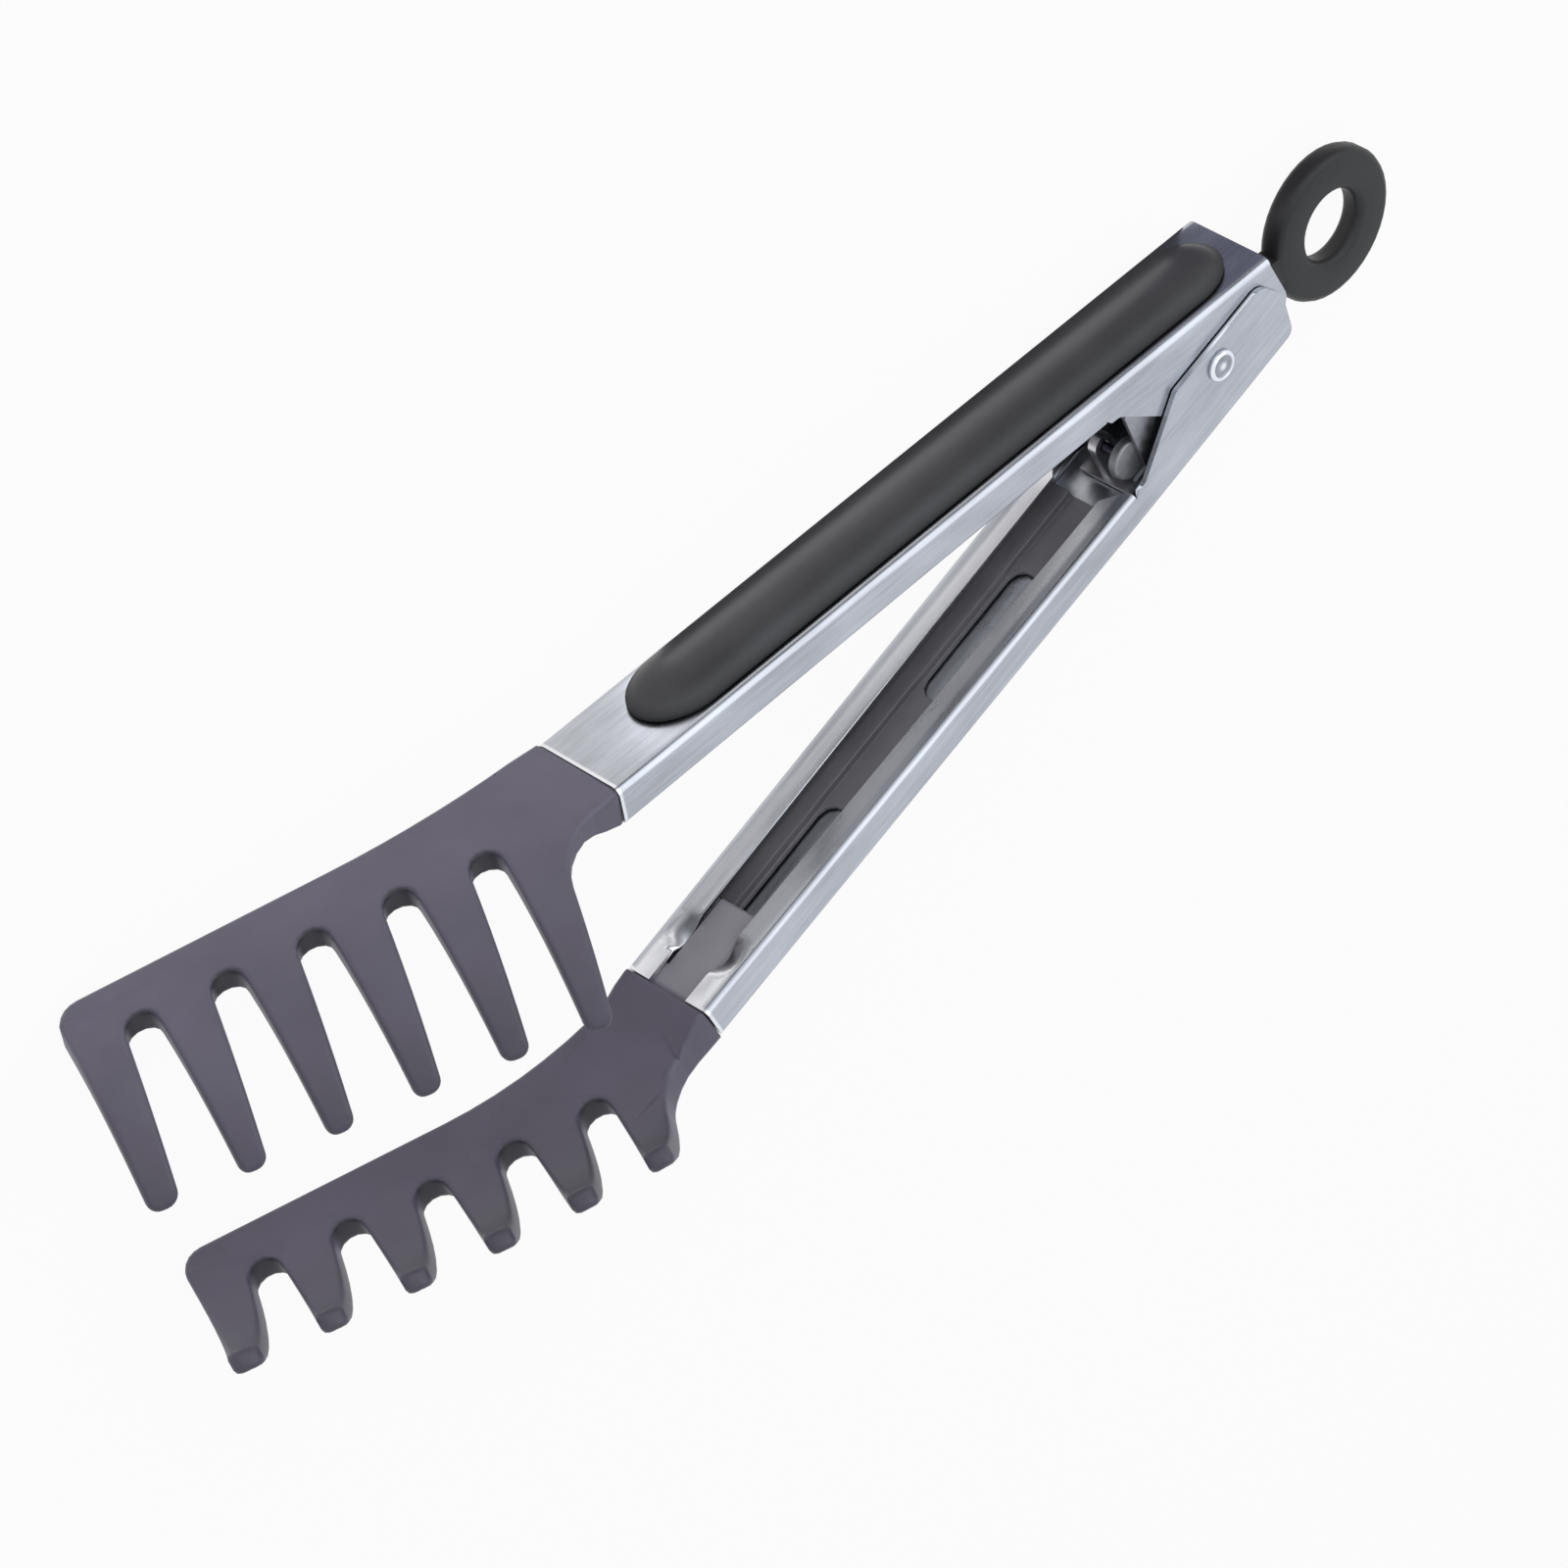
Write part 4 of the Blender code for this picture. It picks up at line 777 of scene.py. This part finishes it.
def close_bore(shape):
    """Covers the near roller's bore, whose face shows plain."""
    low, high = roller_faces()
    centre = sum((INTO_HINGE @ vert.co for vert in shape.verts), Vector()) / len(shape.verts)
    bore_limit = BORE_SHARE * (high - low)
    bore = [
        vert for vert in shape.verts if (INTO_HINGE @ vert.co - centre).xy.length < bore_limit
    ]
    bmesh.ops.delete(shape, geom=bore, context="VERTS")
    open_edges = [item for item in shape.edges if item.is_boundary]
    bmesh.ops.holes_fill(shape, edges=open_edges, sides=0)


def sink_pin(shape):
    """Ends the stop pin inside the near roller."""
    low, high = roller_faces()
    for vert in shape.verts:
        place = INTO_HINGE @ vert.co
        if place.z > low:
            place.z = (low + high) / 2
            vert.co = HINGE @ place


def dress_tongs():
    """A finished piece for each CAD node."""
    core = moulded_plastic(
        "core_plastic", CORE_GREY, CORE_GREY_PALE, roughness=0.30, bump=0.12, specular=0.6
    )
    ring = moulded_plastic(
        "ring_plastic", RING_BLACK, RING_BLACK_PALE, roughness=0.44, bump=0.18, specular=0.32
    )
    # Painted shade: the lock's inner zinc parts are darkened
    shaded_zinc = bright_metal("shaded_zinc", SHADED_ZINC, 0.38)
    finish_piece("inner_arm", brushed_steel("inner_arm_steel", INNER), flat=True)
    outer_steel = brushed_steel("outer_arm_steel", OUTER)
    finish_piece("outer_arm", outer_steel, reshape=round_back_corner, flat=True)
    crowned_pad("inner_grip", soft_pad("inner_soft_grip", INNER), INNER, -1)
    crowned_pad("outer_grip", soft_pad("outer_soft_grip", OUTER), OUTER, 1)
    for node, material, edge, reshape in (
        ("inner_comb", comb_nylon("inner_grey_nylon", INNER), 0.0, unfold_skin),
        ("outer_comb", comb_nylon("outer_grey_nylon", OUTER), 0.0, unfold_skin),
        ("inner_grip_core", core, 0.00015, None),
        ("outer_grip_core", core, 0.00015, None),
        ("pull_ring", ring, 0.0, None),
        ("lock_carrier", bright_metal("zinc_sheet", ZINC, 0.42), 0.00008, None),
        ("spacer_bush", shaded_zinc, 0.00005, None),
        # Painted highlight on the stop bracket
        ("stop_bracket", bright_metal("highlit_zinc", HIGHLIT_ZINC, 0.36), 0.00010, None),
        ("near_roller", bright_metal("dull_zinc", DULL_ZINC, 0.60), 0.00015, close_bore),
        ("far_roller", shaded_zinc, 0.00015, None),
        ("stop_pin", shaded_zinc, 0.0, sink_pin),
        ("ring_pin", bright_metal("bright_pin", PIN_STEEL, 0.20), 0.0, None),
        ("hinge_rivet", rivet_metal("rivet_steel"), 0.0, None),
        ("torsion_spring", bright_metal("spring_wire", SPRING_WIRE, 0.30), 0.0, None),
    ):
        finish_piece(node, material, edge, reshape)


def flat_sheet(name, corners, height, material):
    """A flat stage piece at a height, over corners given as x and y."""
    mesh = bpy.data.meshes.new(name)
    mesh.from_pydata([(x, y, 0.0) for x, y in corners], [], [tuple(range(len(corners)))])
    mesh.materials.append(material)
    sheet = bpy.data.objects.new(name, mesh)
    sheet.location.z = height
    bpy.context.scene.collection.objects.link(sheet)
    return sheet


def make_floor():
    """A wide pale floor that the camera and metal see as near white, and that keeps the shadow."""
    material, tree, shader = new_material("floor_paint")
    shader.inputs["Base Color"].default_value = (*FLOOR, 1.0)
    shader.inputs["Roughness"].default_value = 0.9
    shader.inputs["Specular IOR Level"].default_value = 0.0
    rays = add_node(tree, "ShaderNodeLightPath").outputs
    seen = math_node(tree, "MAXIMUM", rays["Is Camera Ray"], rays["Is Glossy Ray"])
    seen = math_node(tree, "MAXIMUM", seen, rays["Is Transmission Ray"])
    white = add_node(tree, "ShaderNodeEmission")
    white.inputs["Color"].default_value = (1.0, 1.0, 1.0, 1.0)
    share = product(tree, seen, FLOOR_WHITE)
    surface = mix_shader(tree, share, shader.outputs[0], white.outputs[0])
    feed(tree, surface, tree.nodes["Material Output"].inputs["Surface"])
    size = FLOOR_HALF_SIZE
    corners = ((-size, -size), (size, -size), (size, size), (-size, size))
    flat_sheet("studio_floor", corners, FLOOR_HEIGHT, material)


def add_card(name, corners, tone, height, fade=None):
    """A card on the floor, seen only in reflections; it may fade in between two places along X."""
    material, tree, shader = new_material(name)
    tree.nodes.remove(shader)
    glow = add_node(tree, "ShaderNodeEmission")
    glow.inputs["Color"].default_value = (*tone, 1.0)
    surface = glow.outputs[0]
    if fade:
        clear = add_node(tree, "ShaderNodeBsdfTransparent").outputs[0]
        along = split_vector(tree, object_vector(tree))[0]
        surface = mix_shader(tree, map_range(tree, along, fade), clear, surface)
    feed(tree, surface, tree.nodes["Material Output"].inputs["Surface"])
    card = flat_sheet(name, corners, height, material)
    card.visible_camera = False
    card.visible_diffuse = False
    card.visible_shadow = False


def direction_lobe(tree, toward, edge_angle, core_angle):
    """A soft round patch of the studio's sky: 1 within the core angle, 0 beyond the edge angle."""
    way = add_node(tree, "ShaderNodeTexCoord").outputs["Generated"]
    toward = (HINGE.to_3x3() @ Vector(toward)).normalized()
    span = (math.cos(math.radians(edge_angle)), math.cos(math.radians(core_angle)))
    patch = map_range(tree, dot_product(tree, way, toward), span)
    patch.node.interpolation_type = "SMOOTHSTEP"
    return patch


def make_world():
    """Pale to the camera; metal sees a cool sky with a bright patch overhead and a dark flag."""
    world = bpy.data.worlds.new("studio")
    world.use_nodes = True
    tree = world.node_tree
    light = tree.nodes["Background"]
    light.inputs["Color"].default_value = (*SKY_LIGHT, 1.0)
    light.inputs["Strength"].default_value = SKY_LIGHT_STRENGTH
    backdrop = add_node(tree, "ShaderNodeBackground")
    reflected = add_node(tree, "ShaderNodeBackground")
    reflected.inputs["Color"].default_value = (*SKY_REFLECTED, 1.0)
    overhead = direction_lobe(tree, *OVERHEAD_PATCH)
    flag = direction_lobe(tree, *FRONT_FLAG)
    level = weighted_sum(tree, overhead, OVERHEAD_LIFT, flag, -FLAG_DROP)
    level = math_node(tree, "ADD", level, SKY_REFLECTED_STRENGTH)
    feed(tree, level, reflected.inputs["Strength"])
    rays = add_node(tree, "ShaderNodeLightPath").outputs
    seen = math_node(tree, "MAXIMUM", rays["Is Camera Ray"], rays["Is Transmission Ray"])
    lit = mix_shader(tree, rays["Is Glossy Ray"], light.outputs[0], reflected.outputs[0])
    surface = mix_shader(tree, seen, lit, backdrop.outputs[0])
    feed(tree, surface, tree.nodes["World Output"].inputs["Surface"])
    bpy.context.scene.world = world


def add_softbox(name, direction, distance, width, height, watts):
    """A rectangular lamp that looks at the tongs from a direction in the hinge's frame."""
    lamp = bpy.data.lights.new(name, "AREA")
    lamp.shape = "RECTANGLE"
    lamp.size = width
    lamp.size_y = height
    lamp.energy = watts
    softbox = bpy.data.objects.new(name, lamp)
    toward = (HINGE.to_3x3() @ Vector(direction)).normalized()
    softbox.location = toward * distance
    softbox.rotation_euler = toward.to_track_quat("Z", "Y").to_euler()
    softbox.visible_glossy = False
    bpy.context.scene.collection.objects.link(softbox)


def make_camera():
    lens = bpy.data.cameras.new("photograph_view")
    lens.sensor_width = SENSOR_WIDTH
    lens.lens = FOCAL_SHARE * SENSOR_WIDTH
    lens.clip_start = CAMERA_NEAR
    lens.clip_end = CAMERA_FAR
    camera = bpy.data.objects.new("photograph_view", lens)
    turn = Matrix((CAMERA_RIGHT, CAMERA_UP, CAMERA_BACK)).transposed()
    camera.matrix_world = HINGE @ (Matrix.Translation(CAMERA_PLACE) @ turn.to_4x4())
    bpy.context.scene.collection.objects.link(camera)
    bpy.context.scene.camera = camera


dress_tongs()
make_floor()
add_card("hinge_card", HINGE_CARD, HINGE_CARD_TONE, LOW_CARD_HEIGHT, fade=HINGE_CARD_FADE)
add_card("gap_card", GAP_CARD, GAP_CARD_TONE, LOW_CARD_HEIGHT)
add_card("under_card", UNDER_CARD, UNDER_CARD_TONE, TOP_CARD_HEIGHT)
add_card("floor_reflector", REFLECTOR, REFLECTOR_TONE, TOP_CARD_HEIGHT)
make_world()
add_softbox(
    "overhead_softbox", (-0.40, -0.35, 0.80), distance=0.9, width=0.70, height=0.60, watts=2.0
)
add_softbox(
    "face_softbox", (0.206, -0.866, 0.42), distance=1.0, width=0.9, height=0.6, watts=4.2
)
make_camera()
bpy.context.scene.view_settings.view_transform = "Standard"
